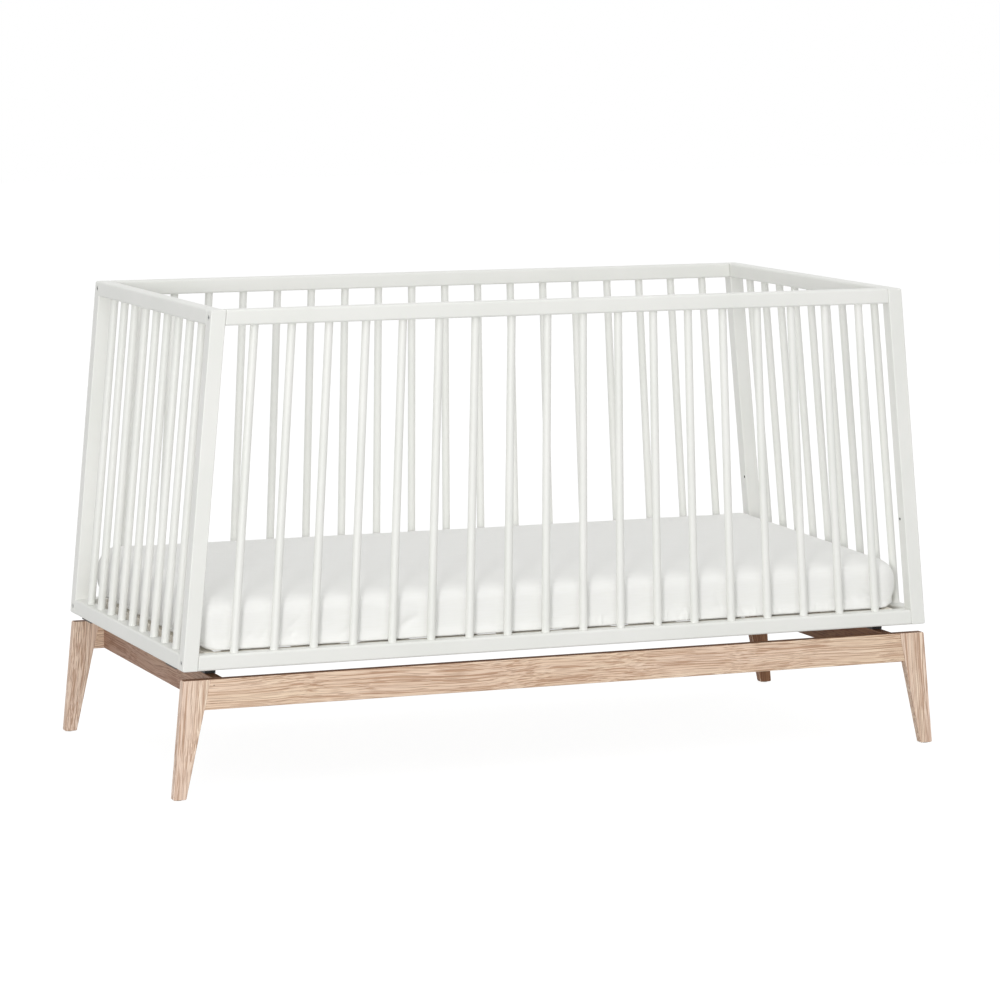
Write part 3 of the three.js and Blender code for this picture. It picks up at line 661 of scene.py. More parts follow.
def white_cotton(tree):
    """Plain woven white cotton, washed: matt, with a soft sheen at grazing light.

    The threads of such a sheet lie about 0.4 mm apart, which is too fine to show, so the weave is
    drawn 1.2 mm apart. Slubs and soft creases of 20 to 60 mm lie over it, and slanting folds
    some 10 mm wide where the sheet is gathered at its foot.
    """
    place = add(tree, "TexCoord", out="Object")
    warp, weft, rise = (
        add(tree, "TexWave", {"Vector": place, "Scale": 130.0, "Distortion": 2.5, "Detail": 2.0},
            "Fac", wave_type="BANDS", bands_direction=axis)
        for axis in "XYZ"
    )
    cross = add(tree, "Math", {0: warp, 1: weft}, operation="ADD")
    weave = add(tree, "Math", {0: cross, 1: rise}, operation="ADD")
    slub = add(tree, "TexNoise", {
        "Vector": add(tree, "Mapping", {"Vector": place, "Scale": (30.0, 400.0, 400.0)}),
        "Scale": 1.0,
    })
    crease = add(tree, "TexNoise", {
        "Vector": place, "Scale": 22.0, "Detail": 4.0, "Distortion": 0.8,
    })
    slant = add(tree, "Mapping", {
        "Vector": place, "Rotation": (0.0, math.radians(35), 0.0), "Scale": (80.0, 40.0, 24.0),
    })
    fold = add(tree, "TexNoise", {"Vector": slant, "Scale": 1.0, "Detail": 0.5, "Distortion": 0.6})
    fold = add(tree, "ValToRGB", {"Fac": fold}, stops=[(0.48, 0.0), (0.72, 1.0)])
    gather = add(tree, "TexNoise", {"Vector": place, "Scale": 9.0, "Detail": 0.0})
    gather = add(tree, "ValToRGB", {"Fac": gather}, stops=[(0.54, 0.0), (0.66, 1.0)])
    foot = add(tree, "MapRange", {
        "Value": add(tree, "SeparateXYZ", {"Vector": place}, "Z"),
        "From Min": MATTRESS_FLOOR + GATHERED[0], "From Max": MATTRESS_FLOOR + GATHERED[1],
        "To Min": 1.0, "To Max": 0.0,
    })
    near = add(tree, "Math", {0: gather, 1: foot}, operation="MULTIPLY")
    folds = add(tree, "Math", {0: fold, 1: near}, operation="MULTIPLY")
    fine = add(tree, "Bump", {"Height": weave, "Distance": 0.00005, "Strength": 0.08})
    soft = add(tree, "Bump", {
        "Height": crease, "Distance": 0.0012, "Strength": 0.5, "Normal": fine,
    })
    return {
        "IOR": 1.45,
        "Roughness": 0.9,
        "Sheen Weight": 0.12,
        "Sheen Roughness": 0.5,
        "Base Color": add(tree, "ValToRGB", {"Fac": slub},
                          stops=[(0.3, "#f0f0ed"), (0.7, "#f2f2f0")]),
        "Normal": add(tree, "Bump", {
            "Height": folds, "Distance": 0.003, "Strength": 0.5, "Normal": soft,
        }),
    }


WHITE_LACQUER = finished("satin_lacquer_on_beech", white_lacquer)
# A white wash on the faces that show, over paler boards for the legs. The cross rails, the faces
# that look up and the faces in the cot's shade take darker oaks instead: painted shade.
WHITEWASHED_OAK = finished("whitewashed_oak", lambda tree: oak(tree, "#f9f5ee"))
PALE_OAK = finished("whitewashed_pale_oak", lambda tree: oak(tree, "#ffffff"))
HALF_SHADE_PAINTED_OAK = finished("oak_with_painted_half_shade", lambda tree: oak(tree, "#bca89e"))
SHADE_PAINTED_OAK = finished("oak_with_painted_shade", lambda tree: oak(tree, "#987a62"))
SANDED_BIRCH = finished("sanded_birch", sanded_birch)
BLACK_POWDER_COAT = finished("black_powder_coat", black_powder_coat)
ZINC_PLATE = finished("zinc_plated_steel", zinc_plate)
BLACKENED_STEEL = finished("blackened_steel", blackened_steel)
MOULDED_PLASTIC = finished("moulded_polyethylene", moulded_plastic)
WHITE_COTTON = finished("woven_white_cotton", white_cotton)

# ---------------------------------------------------------------- bolts and their holes


def rod_profile(length, radius, edge):
    """A rod's profile: straight, with both ends eased by a 45 degree bevel."""
    return [(0, radius - edge), (edge, radius), (length - edge, radius), (length, radius - edge)]


def rail_bolt_hole(x, y, z):
    """A stepped hole for a rail bolt: a narrow bore for its shank and a wide one for its head."""
    seat = frame_end(z) - BOLT_HEAD_RECESS - BOLT_HEAD_HEIGHT - FIT
    tip = seat - BOLT_LENGTH - FIT
    outside = frame_end(z) + BOLT_HEAD_DIAMETER
    shank = BOLT_DIAMETER / 2 + FIT
    head = BOLT_HEAD_DIAMETER / 2 + FIT
    profile = [(0, shank), (seat - tip, shank), (seat - tip, head), (outside - tip, head)]
    return turned(profile, (x * tip, y * SIDE_MIDDLE, z), (x * outside, y * SIDE_MIDDLE, z))


def barrel_nut_hole(x, y, z):
    """An upright blind hole in a rail's underside for a barrel nut."""
    middle = x * (post_inside(z) - NUT_INSET)
    low = z - RAIL_HEIGHT
    high = z + NUT_LENGTH / 2 + FIT
    start, end = ((middle, y * SIDE_MIDDLE, height) for height in (low, high))
    return bore(start, end, NUT_DIAMETER / 2 + FIT)


def bed_base_hole(x, y):
    """The blind hole in a post's inner face that holds the bed base in its upper place."""
    face = post_inside(BED_BASE_HOLE_LEVEL)
    place = (y * (HALF_DEPTH - BED_BASE_HOLE_SETBACK), BED_BASE_HOLE_LEVEL)
    start, end = ((x * (face + reach), *place) for reach in (-POST_WIDTH, BED_BASE_HOLE_DEPTH))
    return bore(start, end, BED_BASE_HOLE_DIAMETER / 2)


def sleeve(x, y):
    """A blackened threaded sleeve in a bed base hole: a tube closed at its far end."""
    face = post_inside(BED_BASE_HOLE_LEVEL) + SLEEVE_SETBACK
    place = (y * (HALF_DEPTH - BED_BASE_HOLE_SETBACK), BED_BASE_HOLE_LEVEL)
    outer = BED_BASE_HOLE_DIAMETER / 2 - FIT
    inner = outer - SLEEVE_WALL
    length = BED_BASE_HOLE_DEPTH - SLEEVE_SETBACK - FIT
    profile = [
        (length - SLEEVE_WALL, inner * CLOSING), (length - SLEEVE_WALL, inner), (0, inner),
        (0, outer), (length, outer), (length, inner * CLOSING),
    ]
    return turned(profile, (x * face, *place), (x * (face + length), *place))


def hexagon(angle):
    """The radius of a regular hexagon at an angle, as a share of its half width across flats."""
    sixth = math.pi / 3
    return 1 / np.cos((angle + sixth / 2) % sixth - sixth / 2)


def socket_bolt(x, y, z):
    """A socket head bolt: a turned shank and head, with a hexagon sunk into the head's face."""
    seat = frame_end(z) - BOLT_HEAD_RECESS - BOLT_HEAD_HEIGHT
    face = seat + BOLT_HEAD_HEIGHT
    start = (x * (seat - BOLT_LENGTH), y * SIDE_MIDDLE, z)
    end = (x * face, y * SIDE_MIDDLE, z)
    shank = BOLT_DIAMETER / 2
    head = BOLT_HEAD_DIAMETER / 2
    length = BOLT_LENGTH + BOLT_HEAD_HEIGHT
    round_rings = turned([
        (0, shank - BOLT_HEAD_EDGE), (BOLT_HEAD_EDGE, shank), (BOLT_LENGTH, shank),
        (BOLT_LENGTH, head), (length - BOLT_HEAD_EDGE, head), (length, head - BOLT_HEAD_EDGE),
    ], start, end, BOLT_SIDES)
    socket_rings = turned([
        (length, HEX_KEY / 2), (length - HEX_DEPTH, HEX_KEY / 2),
        (length - HEX_DEPTH, HEX_KEY * CLOSING),
    ], start, end, BOLT_SIDES, hexagon)
    return np.concatenate([round_rings, socket_rings])


# ---------------------------------------------------------------- the white frame


def post(x, y):
    """A leaning post: its side outline carried through its depth, then bored."""
    outside = [x * frame_end(z) for z in (FRAME_BOTTOM, FRAME_TOP)]
    inside = [x * post_inside(z) for z in (FRAME_BOTTOM, FRAME_TOP)]
    corners = [
        (outside[0], FRAME_BOTTOM, POST_BOTTOM_CORNER), (outside[1], FRAME_TOP, POST_TOP_CORNER),
        (inside[1], FRAME_TOP, POST_EDGE), (inside[0], FRAME_BOTTOM, POST_EDGE),
    ]
    rings = carried(corners, y * HALF_DEPTH, y * (HALF_DEPTH - POST_DEPTH), POST_EDGE, "xzy")
    holes = [rail_bolt_hole(x, y, z) for z in LEVELS.values()]
    return cut(mesh_of("post", rings), *holes, bed_base_hole(x, y))


def side_rail(y, low):
    """A side rail: its rounded section carried along the cot, its ends cut to the leaning posts."""
    high = low + RAIL_HEIGHT
    middle = (low + high) / 2
    half = post_inside(middle) - FIT
    corners = section(y * HALF_DEPTH, y * (HALF_DEPTH - RAIL_THICKNESS), low, high, RAIL_EDGE)

    return carried(corners, -half, half, RAIL_END_EDGE, "yzx", slanted(post_inside, half, middle))


def end_rail(x, low):
    """An end rail: a section that leans with the posts, carried across the cot."""
    high = low + RAIL_HEIGHT
    corners = [
        (x * frame_end(low), low, RAIL_EDGE), (x * frame_end(high), high, RAIL_EDGE),
        (x * (frame_end(high) - RAIL_THICKNESS), high, RAIL_EDGE),
        (x * (frame_end(low) - RAIL_THICKNESS), low, RAIL_EDGE),
    ]
    reach = HALF_DEPTH - POST_DEPTH - FIT
    return carried(corners, -reach, reach, RAIL_END_EDGE, "xzy")


SLAT_LOW = RAIL_TOP - SLAT_SEAT
SLAT_HIGH = TOP_RAIL_BOTTOM + SLAT_SEAT


def side_slat_lines(y):
    """The two ends of each slat's middle line in a side, fanned out towards the bottom."""
    low = post_inside(RAIL_TOP) - SIDE_SLAT_GAP_BOTTOM - SLAT_DIAMETER / 2
    high = post_inside(TOP_RAIL_BOTTOM) - SIDE_SLAT_GAP_TOP - SLAT_DIAMETER / 2
    return [
        ((share * low, y * SIDE_MIDDLE, SLAT_LOW), (share * high, y * SIDE_MIDDLE, SLAT_HIGH))
        for share in np.linspace(-1, 1, SIDE_SLATS)
    ]


def end_slat_lines(x):
    """The two ends of each slat's middle line in an end panel, which leans as a whole."""
    reach = HALF_DEPTH - POST_DEPTH - END_SLAT_GAP - SLAT_DIAMETER / 2
    low = x * (frame_end(SLAT_LOW) - RAIL_THICKNESS / 2)
    high = x * (frame_end(SLAT_HIGH) - RAIL_THICKNESS / 2)
    across = np.linspace(-reach, reach, END_SLATS)
    return [((low, y, SLAT_LOW), (high, y, SLAT_HIGH)) for y in across]


def slat(low, high):
    """A round slat with eased ends."""
    length = np.linalg.norm(np.subtract(high, low))
    return turned(rod_profile(length, SLAT_DIAMETER / 2, SLAT_END_EDGE), low, high)


def sockets(lines):
    """The blind holes round the slats' ends: a rod past both ends of each, a fit wider than it."""
    holes = []
    for low, high in lines:
        low, high = np.array(low), np.array(high)
        past = FIT * (high - low) / np.linalg.norm(high - low)
        holes.append(bore(low - past, high + past, SLAT_DIAMETER / 2 + FIT))
    return holes


for corner, (x, y) in CORNERS.items():
    piece(f"white_post_{corner}", post(x, y), "frame", WHITE_LACQUER,
          [f"post_{corner}"])
    for level, z in LEVELS.items():
        bolt = mesh_of("bolt", socket_bolt(x, y, z))
        piece(f"socket_bolt_{corner}_{level}", bolt, "frame", ZINC_PLATE,
              [f"rail_bolt_{corner}_{level}"])
    piece(f"threaded_sleeve_{corner}", mesh_of("sleeve", sleeve(x, y)), "frame", BLACKENED_STEEL)


def rails_and_slats(side, bars, lines, bolts):
    """The two rails of a panel, bored for slats, bolts and nuts, and the slats between them."""
    nodes = (f"slatted_bottom_rail_{side}", f"top_rail_{side}")
    for (level, z), bar, node in zip(LEVELS.items(), bars, nodes):
        holes = sockets(lines) + [rail_bolt_hole(x, y, z) for x, y in bolts]
        mesh = cut(mesh_of("rail", bar), *holes)
        if bolts:
            mesh = cut(mesh, *[barrel_nut_hole(x, y, z) for x, y in bolts])
        piece(f"white_{level}_rail_{side}", mesh, "frame", WHITE_LACQUER, [node])
    for number, line in enumerate(lines, 1):
        piece(f"slat_{side}_{number:02d}", mesh_of("slat", slat(*line)), "frame", WHITE_LACQUER)


for side, y in SIDES.items():
    bars = [side_rail(y, FRAME_BOTTOM), side_rail(y, TOP_RAIL_BOTTOM)]
    rails_and_slats(side, bars, side_slat_lines(y), [(x, y) for x in ENDS.values()])

for end, x in ENDS.items():
    bars = [end_rail(x, FRAME_BOTTOM), end_rail(x, TOP_RAIL_BOTTOM)]
    rails_and_slats(end, bars, end_slat_lines(x), [])

for name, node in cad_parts.items():
    if name.startswith("barrel_nut"):
        node.data.materials.clear()
        node.data.materials.append(ZINC_PLATE)

# ---------------------------------------------------------------- the oak stand


def foot_centre(x, y):
    """Middle of a foot on the floor."""
    middle = (leg_outside(0) + leg_inside(0)) / 2
    return x * middle, y * (HALF_STAND_DEPTH - LEG_FOOT_THICKNESS / 2)


def leg(x, y):
    """A splayed leg: its tapered outline carried through its thickness, which thins to the foot.

    Above the apron's underside its inner edge stays square, so that the joint closes.
    """
    joint = (APRON_BOTTOM - STAND_EDGE, APRON_BOTTOM)
    corners = [
        (x * leg_outside(STAND_TOP), STAND_TOP, LEG_CORNER),
        (x * leg_inside(STAND_TOP), STAND_TOP, STAND_EDGE),
        (x * leg_inside(joint[1]), joint[1], STAND_EDGE),
        (x * leg_inside(joint[0]), joint[0], STAND_EDGE),
        (x * leg_inside(LEG_BOTTOM), LEG_BOTTOM, LEG_CORNER),
        (x * leg_outside(LEG_BOTTOM), LEG_BOTTOM, LEG_CORNER),
    ]
    outside = y * HALF_STAND_DEPTH

    def taper(rings):
        height = rings[..., 2]
        edge = leg_inside(height)
        in_joint = (height > joint[1] - FIT) & (np.abs(rings[..., 0]) < edge + STAND_EDGE + FIT)
        rings[..., 0] = np.where(in_joint, x * edge, rings[..., 0])
        share = LEG_FOOT_THICKNESS + (LEG_THICKNESS - LEG_FOOT_THICKNESS) * height / STAND_TOP
        rings[..., 1] = outside + (rings[..., 1] - outside) * share / LEG_THICKNESS
        return rings

    rings = carried(corners, outside, outside - y * LEG_THICKNESS, STAND_EDGE, "xzy", taper)
    centre = foot_centre(x, y)
    seat = GLIDE_DIAMETER / 2 + FIT
    nail = NAIL_DIAMETER / 2 + FIT
    depth = GLIDE_SEAT + NAIL_LENGTH + FIT + OVERRUN
    step = GLIDE_SEAT + OVERRUN
    profile = [(0, seat), (step, seat), (step, nail), (depth, nail)]
    return cut(mesh_of("leg", rings), turned(profile, (*centre, -OVERRUN), (*centre, 1.0)))


def glide(x, y):
    """A round nail-on glide: a disc with an eased rim, and its nail."""
    radius = GLIDE_DIAMETER / 2
    top = GLIDE_SEAT - FIT
    nail = NAIL_DIAMETER / 2
    bulge = GLIDE_EDGE * GLIDE_BULGE
    profile = [
        (0, GLIDE_FLAT * radius), (0, radius - GLIDE_EDGE), (bulge, radius - bulge),
        (GLIDE_EDGE, radius), (top, radius), (top, nail), (top + NAIL_LENGTH - nail, nail),
        (top + NAIL_LENGTH, nail * CLOSING),
    ]
    centre = foot_centre(x, y)
    return turned(profile, (*centre, 0), (*centre, 1.0))


def apron(y):
    """A long apron: its section carried along the cot, its ends slanted to lie against the legs."""
    middle = (APRON_BOTTOM + STAND_TOP) / 2
    half = leg_inside(middle) - FIT
    outside, inside = y * HALF_STAND_DEPTH, y * (HALF_STAND_DEPTH - APRON_THICKNESS)
    corners = section(outside, inside, APRON_BOTTOM, STAND_TOP, STAND_EDGE)

    return carried(corners, -half, half, JOINT_EDGE, "yzx", slanted(leg_inside, half, middle))


def cross_rail(x):
    """A cross rail: its section carried across the cot, between the aprons."""
    inside, outside = x * (CROSS_RAIL_OUTSIDE - CROSS_RAIL_THICKNESS), x * CROSS_RAIL_OUTSIDE
    corners = section(outside, inside, STAND_TOP - CROSS_RAIL_HEIGHT, STAND_TOP, STAND_EDGE)
    reach = HALF_STAND_DEPTH - APRON_THICKNESS - FIT
    return carried(corners, -reach, reach, JOINT_EDGE, "xzy")


def bracket(x, y):
    """A steel bracket: a foot on the cross rail and a bored plate under the frame's end."""
    top = FRAME_BOTTOM - FIT
    plate = top - BRACKET_PLATE
    foot_bottom = STAND_TOP + FIT
    inside = x * (CROSS_RAIL_OUTSIDE - CROSS_RAIL_THICKNESS)
    outside = x * CROSS_RAIL_OUTSIDE
    end = x * (frame_end(FRAME_BOTTOM) - BRACKET_END_MARGIN)
    corners = [(*place, BRACKET_EDGE) for place in (
        (inside, foot_bottom), (inside, top), (end, top),
        (end, plate), (outside, plate), (outside, foot_bottom),
    )]
    front = y * (HALF_DEPTH - BRACKET_SETBACK)
    rings = carried(corners, front, front - y * BRACKET_WIDTH, BRACKET_EDGE, "xzy")
    foot_at, plate_at, middle = screw_places(x, y)
    depth = FRAME_BOTTOM - STAND_TOP
    narrow, wide = SCREW_HOLE_DIAMETER / 2, SCREW_HEAD_DIAMETER / 2 + FIT
    step = depth - FIT - SCREW_HEAD_HEIGHT - FIT
    holes = [
        turned(profile, (at, middle, STAND_TOP), (at, middle, FRAME_BOTTOM))
        for at, profile in (
            (foot_at, [(0, narrow), (step, narrow), (step, wide), (depth, wide)]),
            (plate_at, [(0, narrow), (depth, narrow)]),
        )
    ]
    return cut(mesh_of("bracket", rings), *holes)


def screw_places(x, y):
    """Where a bracket's screws stand: one over the cross rail, one under the frame's end rail."""
    middle = y * (HALF_DEPTH - BRACKET_SETBACK - BRACKET_WIDTH / 2)
    return x * CROSS_RAIL_MIDDLE, x * (frame_end(FRAME_BOTTOM) - RAIL_THICKNESS / 2), middle


def bracket_screws(x, y):
    """A bracket's two screws, each from its head's socket to where its shank enters the wood."""
    foot_at, plate_at, middle = screw_places(x, y)
    top = FRAME_BOTTOM - FIT
    under = top - BRACKET_PLATE - SCREW_HEAD_HEIGHT
    return [
        screw((foot_at, middle, top - FIT), (foot_at, middle, STAND_TOP + FIT)),
        screw((plate_at, middle, under), (plate_at, middle, top)),
    ]


def screw(face, tip):
    """A screw from its head's face to its tip: a turned shank, head and round socket."""
    head, shank = SCREW_HEAD_DIAMETER / 2, SCREW_SHANK_DIAMETER / 2
    socket = SCREW_SOCKET_DIAMETER / 2
    length = abs(tip[2] - face[2])
    return turned([
        (SCREW_SOCKET_DEPTH, socket), (0, socket), (0, head - SCREW_EDGE), (SCREW_EDGE, head),
        (SCREW_HEAD_HEIGHT, head), (SCREW_HEAD_HEIGHT, shank), (length, shank),
    ], face, tip)


def from_outer_edge(points):
    """How far inside its leg's outer edge each point lies."""
    return leg_outside(points[:, 2]) - np.abs(points[:, 0])


for number, (corner, (x, y)) in enumerate(CORNERS.items()):
    mesh = leg(x, y)
    set_grain(mesh, board("zxy", number + 1, from_outer_edge))
    piece(f"oak_leg_{corner}", mesh, "frame", PALE_OAK, [f"leg_{corner}"])
    # Painted shade: the upper faces, and the back right leg's front and left faces in the shade
    # under the cot, take a darker oak.
    paint_shade(mesh, *([(0, -1, 0), (-1, 0, 0)] if corner == "back_right" else []))
    piece(f"foot_glide_{corner}", mesh_of("glide", glide(x, y)), "frame", MOULDED_PLASTIC,
          [f"glide_{corner}"])
    piece(f"steel_bracket_{corner}", bracket(x, y), "frame", BLACK_POWDER_COAT,
          [f"frame_bracket_{corner}"])
    piece(f"bracket_screws_{corner}", mesh_of("screws", *bracket_screws(x, y)), "frame",
          BLACKENED_STEEL)

for number, (side, y) in enumerate(SIDES.items()):
    mesh = mesh_of("apron", apron(y))
    set_grain(mesh, board("xzy", number + 7))
    piece(f"oak_apron_{side}", mesh, "frame", WHITEWASHED_OAK, [f"apron_{side}"])
    # Painted shade: the apron's top face, in the gap under the frame, takes a darker oak.
    paint_shade(mesh)

for number, (end, x) in enumerate(ENDS.items()):
    mesh = mesh_of("cross_rail", cross_rail(x))
    set_grain(mesh, board("yzx", number + 11))
    # Painted shade: the cross rails take a darker oak for the shade under the frame's ends, and
    # their top and inner faces a darker one still.
    piece(f"oak_cross_rail_{end}", mesh, "frame", HALF_SHADE_PAINTED_OAK,
          [f"cross_rail_{end}"])
    paint_shade(mesh, (-x, 0, 0))

# ---------------------------------------------------------------- the bed base

LATH_SHELF = BED_BASE_TOP - LATH_THICKNESS - FIT


def base_side_rail(y):
    """A long rail of the bed base, with a shelf along its inner edge for the laths."""
    outside = y * HALF_BED_BASE_DEPTH
    shelf = y * (HALF_BED_BASE_DEPTH - BED_BASE_RAIL_THICKNESS + LATH_SEAT)
    inside = y * (HALF_BED_BASE_DEPTH - BED_BASE_RAIL_THICKNESS)
    corners = [
        (outside, BED_BASE_BOTTOM, BED_BASE_EDGE), (outside, BED_BASE_TOP, BED_BASE_EDGE),
        (shelf, BED_BASE_TOP, JOINT_EDGE), (shelf, LATH_SHELF, JOINT_EDGE),
        (inside, LATH_SHELF, JOINT_EDGE), (inside, BED_BASE_BOTTOM, BED_BASE_EDGE),
    ]
    reach = BED_BASE_INSIDE - FIT
    return carried(corners, -reach, reach, JOINT_EDGE, "yzx")


def base_end_rail(x):
    """An end rail of the bed base, as long as the bed base is deep."""
    outside, inside = x * HALF_BED_BASE_LENGTH, x * BED_BASE_INSIDE
    corners = section(outside, inside, BED_BASE_BOTTOM, BED_BASE_TOP, BED_BASE_EDGE)
    return carried(corners, -HALF_BED_BASE_DEPTH, HALF_BED_BASE_DEPTH, BED_BASE_EDGE, "xzy")


def lath(index):
    """One lath, which lies across the bed base on the shelves of its side rails."""
    pitch = 2 * BED_BASE_INSIDE / LATHS
    middle = pitch * (index + 0.5) - BED_BASE_INSIDE
    left, right = middle - LATH_WIDTH / 2, middle + LATH_WIDTH / 2
    corners = section(left, right, BED_BASE_TOP - LATH_THICKNESS, BED_BASE_TOP, BED_BASE_EDGE)
    reach = HALF_BED_BASE_DEPTH - BED_BASE_RAIL_THICKNESS + LATH_SEAT - FIT
    return carried(corners, -reach, reach, BED_BASE_EDGE / 2, "xzy")


def base_piece(name, rings, order, number):
    """A wooden piece of the bed base, with its grain along its length."""
    mesh = mesh_of(name, rings)
    set_grain(mesh, board(order, number))
    piece(f"base_{name}", mesh, "bed_base", SANDED_BIRCH, [f"bed_base_{name}"])


for number, (side, y) in enumerate(SIDES.items(), 1):
    base_piece(f"side_rail_{side}", base_side_rail(y), "xzy", number)

for number, (end, x) in enumerate(ENDS.items(), 3):
    base_piece(f"end_rail_{end}", base_end_rail(x), "yzx", number)

for index in range(LATHS):
    base_piece(f"lath_{index + 1:02d}", lath(index), "yxz", index + 5)

# ---------------------------------------------------------------- the mattress

FILL_PRESSURE = 4.0
FILL_FRAMES = 20
# How much smaller the skin starts than it ends, and the most that a point of it may move.
FILL_ROOM = np.array([0.003, 0.002, 0.0025])
FILL_CAP = 0.004
# The bed base holds the skin up to the lower height, and lets go of it at the higher one.
FILL_HELD = (0.004, 0.020)


def box_grid(low, high, cells):
    """Points and quads of a box's skin: cells about as wide as given, narrower along its edges."""
    lines = []
    for start, end, cell in zip(low, high, cells):
        rim = np.array(MATTRESS_RIM_CELLS)
        count = max(1, round((end - start - 2 * rim[-1]) / cell))
        middle = np.linspace(start + rim[-1], end - rim[-1], count + 1)
        lines.append(np.concatenate([start + rim[:-1], middle, end - rim[-2::-1]]))
    points, faces, count = [], [], 0
    for axis in range(3):
        u, v = [other for other in range(3) if other != axis]
        grid_u, grid_v = np.meshgrid(lines[u], lines[v], indexing="ij")
        index = np.arange(grid_u.size).reshape(grid_u.shape)
        quads = np.stack([index[:-1, :-1], index[1:, :-1], index[1:, 1:], index[:-1, 1:]], axis=-1)
        for wall in (low[axis], high[axis]):
            face = np.empty((grid_u.size, 3))
            face[:, u], face[:, v], face[:, axis] = grid_u.ravel(), grid_v.ravel(), wall
            points.append(face)
            faces.append(quads.reshape(-1, 4) + count)
            count += len(face)
    return np.concatenate(points), np.concatenate(faces).tolist()


def rounded(points, low, high):
    """A box's skin with rounded corners and edges, softer across its ends than along its sides.

    A point's nearest place in a smaller box is the centre of an ellipsoid, and the point moves
    onto it along its own way out. The smaller box stays back by the corner's radii in plan. In
    height it stays back by the edge radius of the side and that of the end, mixed by how much of
    the way out, squared, runs along the cot.
    """
    plan = np.clip(points[:, :2], low[:2] + MATTRESS_CORNER, high[:2] - MATTRESS_CORNER)
    out = (points[:, :2] - plan) / MATTRESS_CORNER
    share = out[:, 0] ** 2 / (np.sum(out ** 2, axis=1) + TINY)
    front = points[:, 1] < 0
    top, bottom = (
        np.where(front, near, far) * (1 - share) + end * share
        for near, far, end in zip(MATTRESS_FRONT_EDGES, MATTRESS_BACK_EDGES, MATTRESS_END_EDGES)
    )
    level = np.clip(points[:, 2], low[2] + bottom, high[2] - top)
    edge = np.where(points[:, 2] > level, top, bottom)
    way = np.column_stack([out, (points[:, 2] - level) / edge])
    way /= np.maximum(np.linalg.norm(way, axis=1, keepdims=True), TINY)
    reach = np.column_stack([np.tile(MATTRESS_CORNER, (len(points), 1)), edge])
    return np.column_stack([plan, level]) + way * reach


def filled(mesh):
    """Where a mesh's points come to lie when a cloth simulation blows it up, without gravity."""
    thing = placed("fill", mesh)
    hold = thing.vertex_groups.new(name="held")
    height = vectors(mesh.vertices, "co")[:, 2] - MATTRESS_FLOOR
    grip = np.interp(height, FILL_HELD, (1.0, 0.0))
    weights = np.linspace(0.1, 1, 10)
    for weight in weights:
        near = np.abs(grip - weight) < weights[0] / 2
        hold.add(np.flatnonzero(near).tolist(), weight, "REPLACE")
    cloth = thing.modifiers.new("fill", "CLOTH")
    cloth.settings.quality = 5
    cloth.settings.use_pressure = True
    cloth.settings.uniform_pressure_force = FILL_PRESSURE
    cloth.settings.effector_weights.gravity = 0.0
    cloth.settings.vertex_group_mass = "held"
    cloth.collision_settings.use_collision = False
    cloth.point_cache.frame_start = 1
    cloth.point_cache.frame_end = FILL_FRAMES
    for number in range(1, FILL_FRAMES + 1):
        bpy.context.scene.frame_set(number)
    result = applied(thing)
    places = vectors(result.vertices, "co")
    bpy.data.meshes.remove(result)
    bpy.context.scene.frame_set(1)
    return places


def mattress_body():
    """The mattress without its creases: a small skin, blown up and then brought to its size.

    A point moves as the simulation says, but no further than the cap. Then each axis is scaled so
    that the skin reaches the mattress's own length, width and height. The bed base stops it from
    below and the frame's rails from the sides. Then each height shrinks evenly towards the front,
    and the skin is subdivided once.
    """
    low = mattress_low - MATTRESS_SWELL * (1, 1, 0)
    high = mattress_high + MATTRESS_SWELL
    room = FILL_ROOM
    start_low, start_high = low + room * np.array([1, 1, 0]), high - room
    points, faces = box_grid(start_low, start_high, MATTRESS_CELLS)
    mesh = mesh_of("mattress", (rounded(points, start_low, start_high), faces))
    places = vectors(mesh.vertices, "co")
    start = places
    move = filled(mesh) - start
    length = np.linalg.norm(move, axis=1, keepdims=True)
    move *= np.minimum(1, FILL_CAP / np.maximum(length, TINY))
    places = start + move
    places[:, 2] = np.maximum(places[:, 2], MATTRESS_FLOOR)
    least, most = places.min(axis=0), places.max(axis=0)
    places = low + (places - least) * (high - low) / (most - least)
    settled = np.interp(places[:, 1], (low[1], high[1]), (1 - MATTRESS_SETTLING, 1))
    places[:, 2] = MATTRESS_FLOOR + (places[:, 2] - MATTRESS_FLOOR) * settled
    move_points(mesh, places)
    thing = placed("work", mesh)
    modifier = thing.modifiers.new("smooth", "SUBSURF")
    modifier.levels = modifier.render_levels = 1
    return applied(thing)


# Creases on each long wall, on each end wall and on top. Every range below is one that the values
# of single creases are drawn from.
SIDE_CREASES, END_CREASES, TOP_CREASES = 26, 16, 34
CREASE_SEED = 11

# On a wall: the height of its foot, how far it leans per unit of height, its length, width, depth
# and bow. It lies so far from a corner as a beta distribution with the crowding's two shapes
# says, times the spread, as a share of the way to the wall's middle.
WALL_FOOT = (0.002, 0.020)
WALL_LEAN = (0.5, 2.2)
WALL_LENGTH = (0.020, 0.070)
WALL_WIDTH = (0.0040, 0.0070)
WALL_SINK = (0.0012, 0.0034)
WALL_BOW = (-6.0, 6.0)
WALL_CROWDING = (1.0, 3.2)
WALL_SPREAD = 0.9

# On top: how far its middle lies from the mattress's, the spread of its turn in radians, its
# length, width, depth and bow. Its depth sets in at the start below the top, and is whole when
# the skin has come up by the rise.
TOP_REACH = (0.64, 0.30)
TOP_TURN = 0.30
TOP_LENGTH = (0.06, 0.20)
TOP_WIDTH = (0.006, 0.016)
TOP_SINK = (0.0004, 0.0011)
TOP_BOW = 0.9
TOP_START = 0.012
TOP_RISE = 0.010


def smooth(share):
    """A smooth step: 3 times the share's square less 2 times its cube, from 0 at 0 to 1 at 1."""
    share = np.clip(share, 0, 1)
    return share * share * (3 - 2 * share)


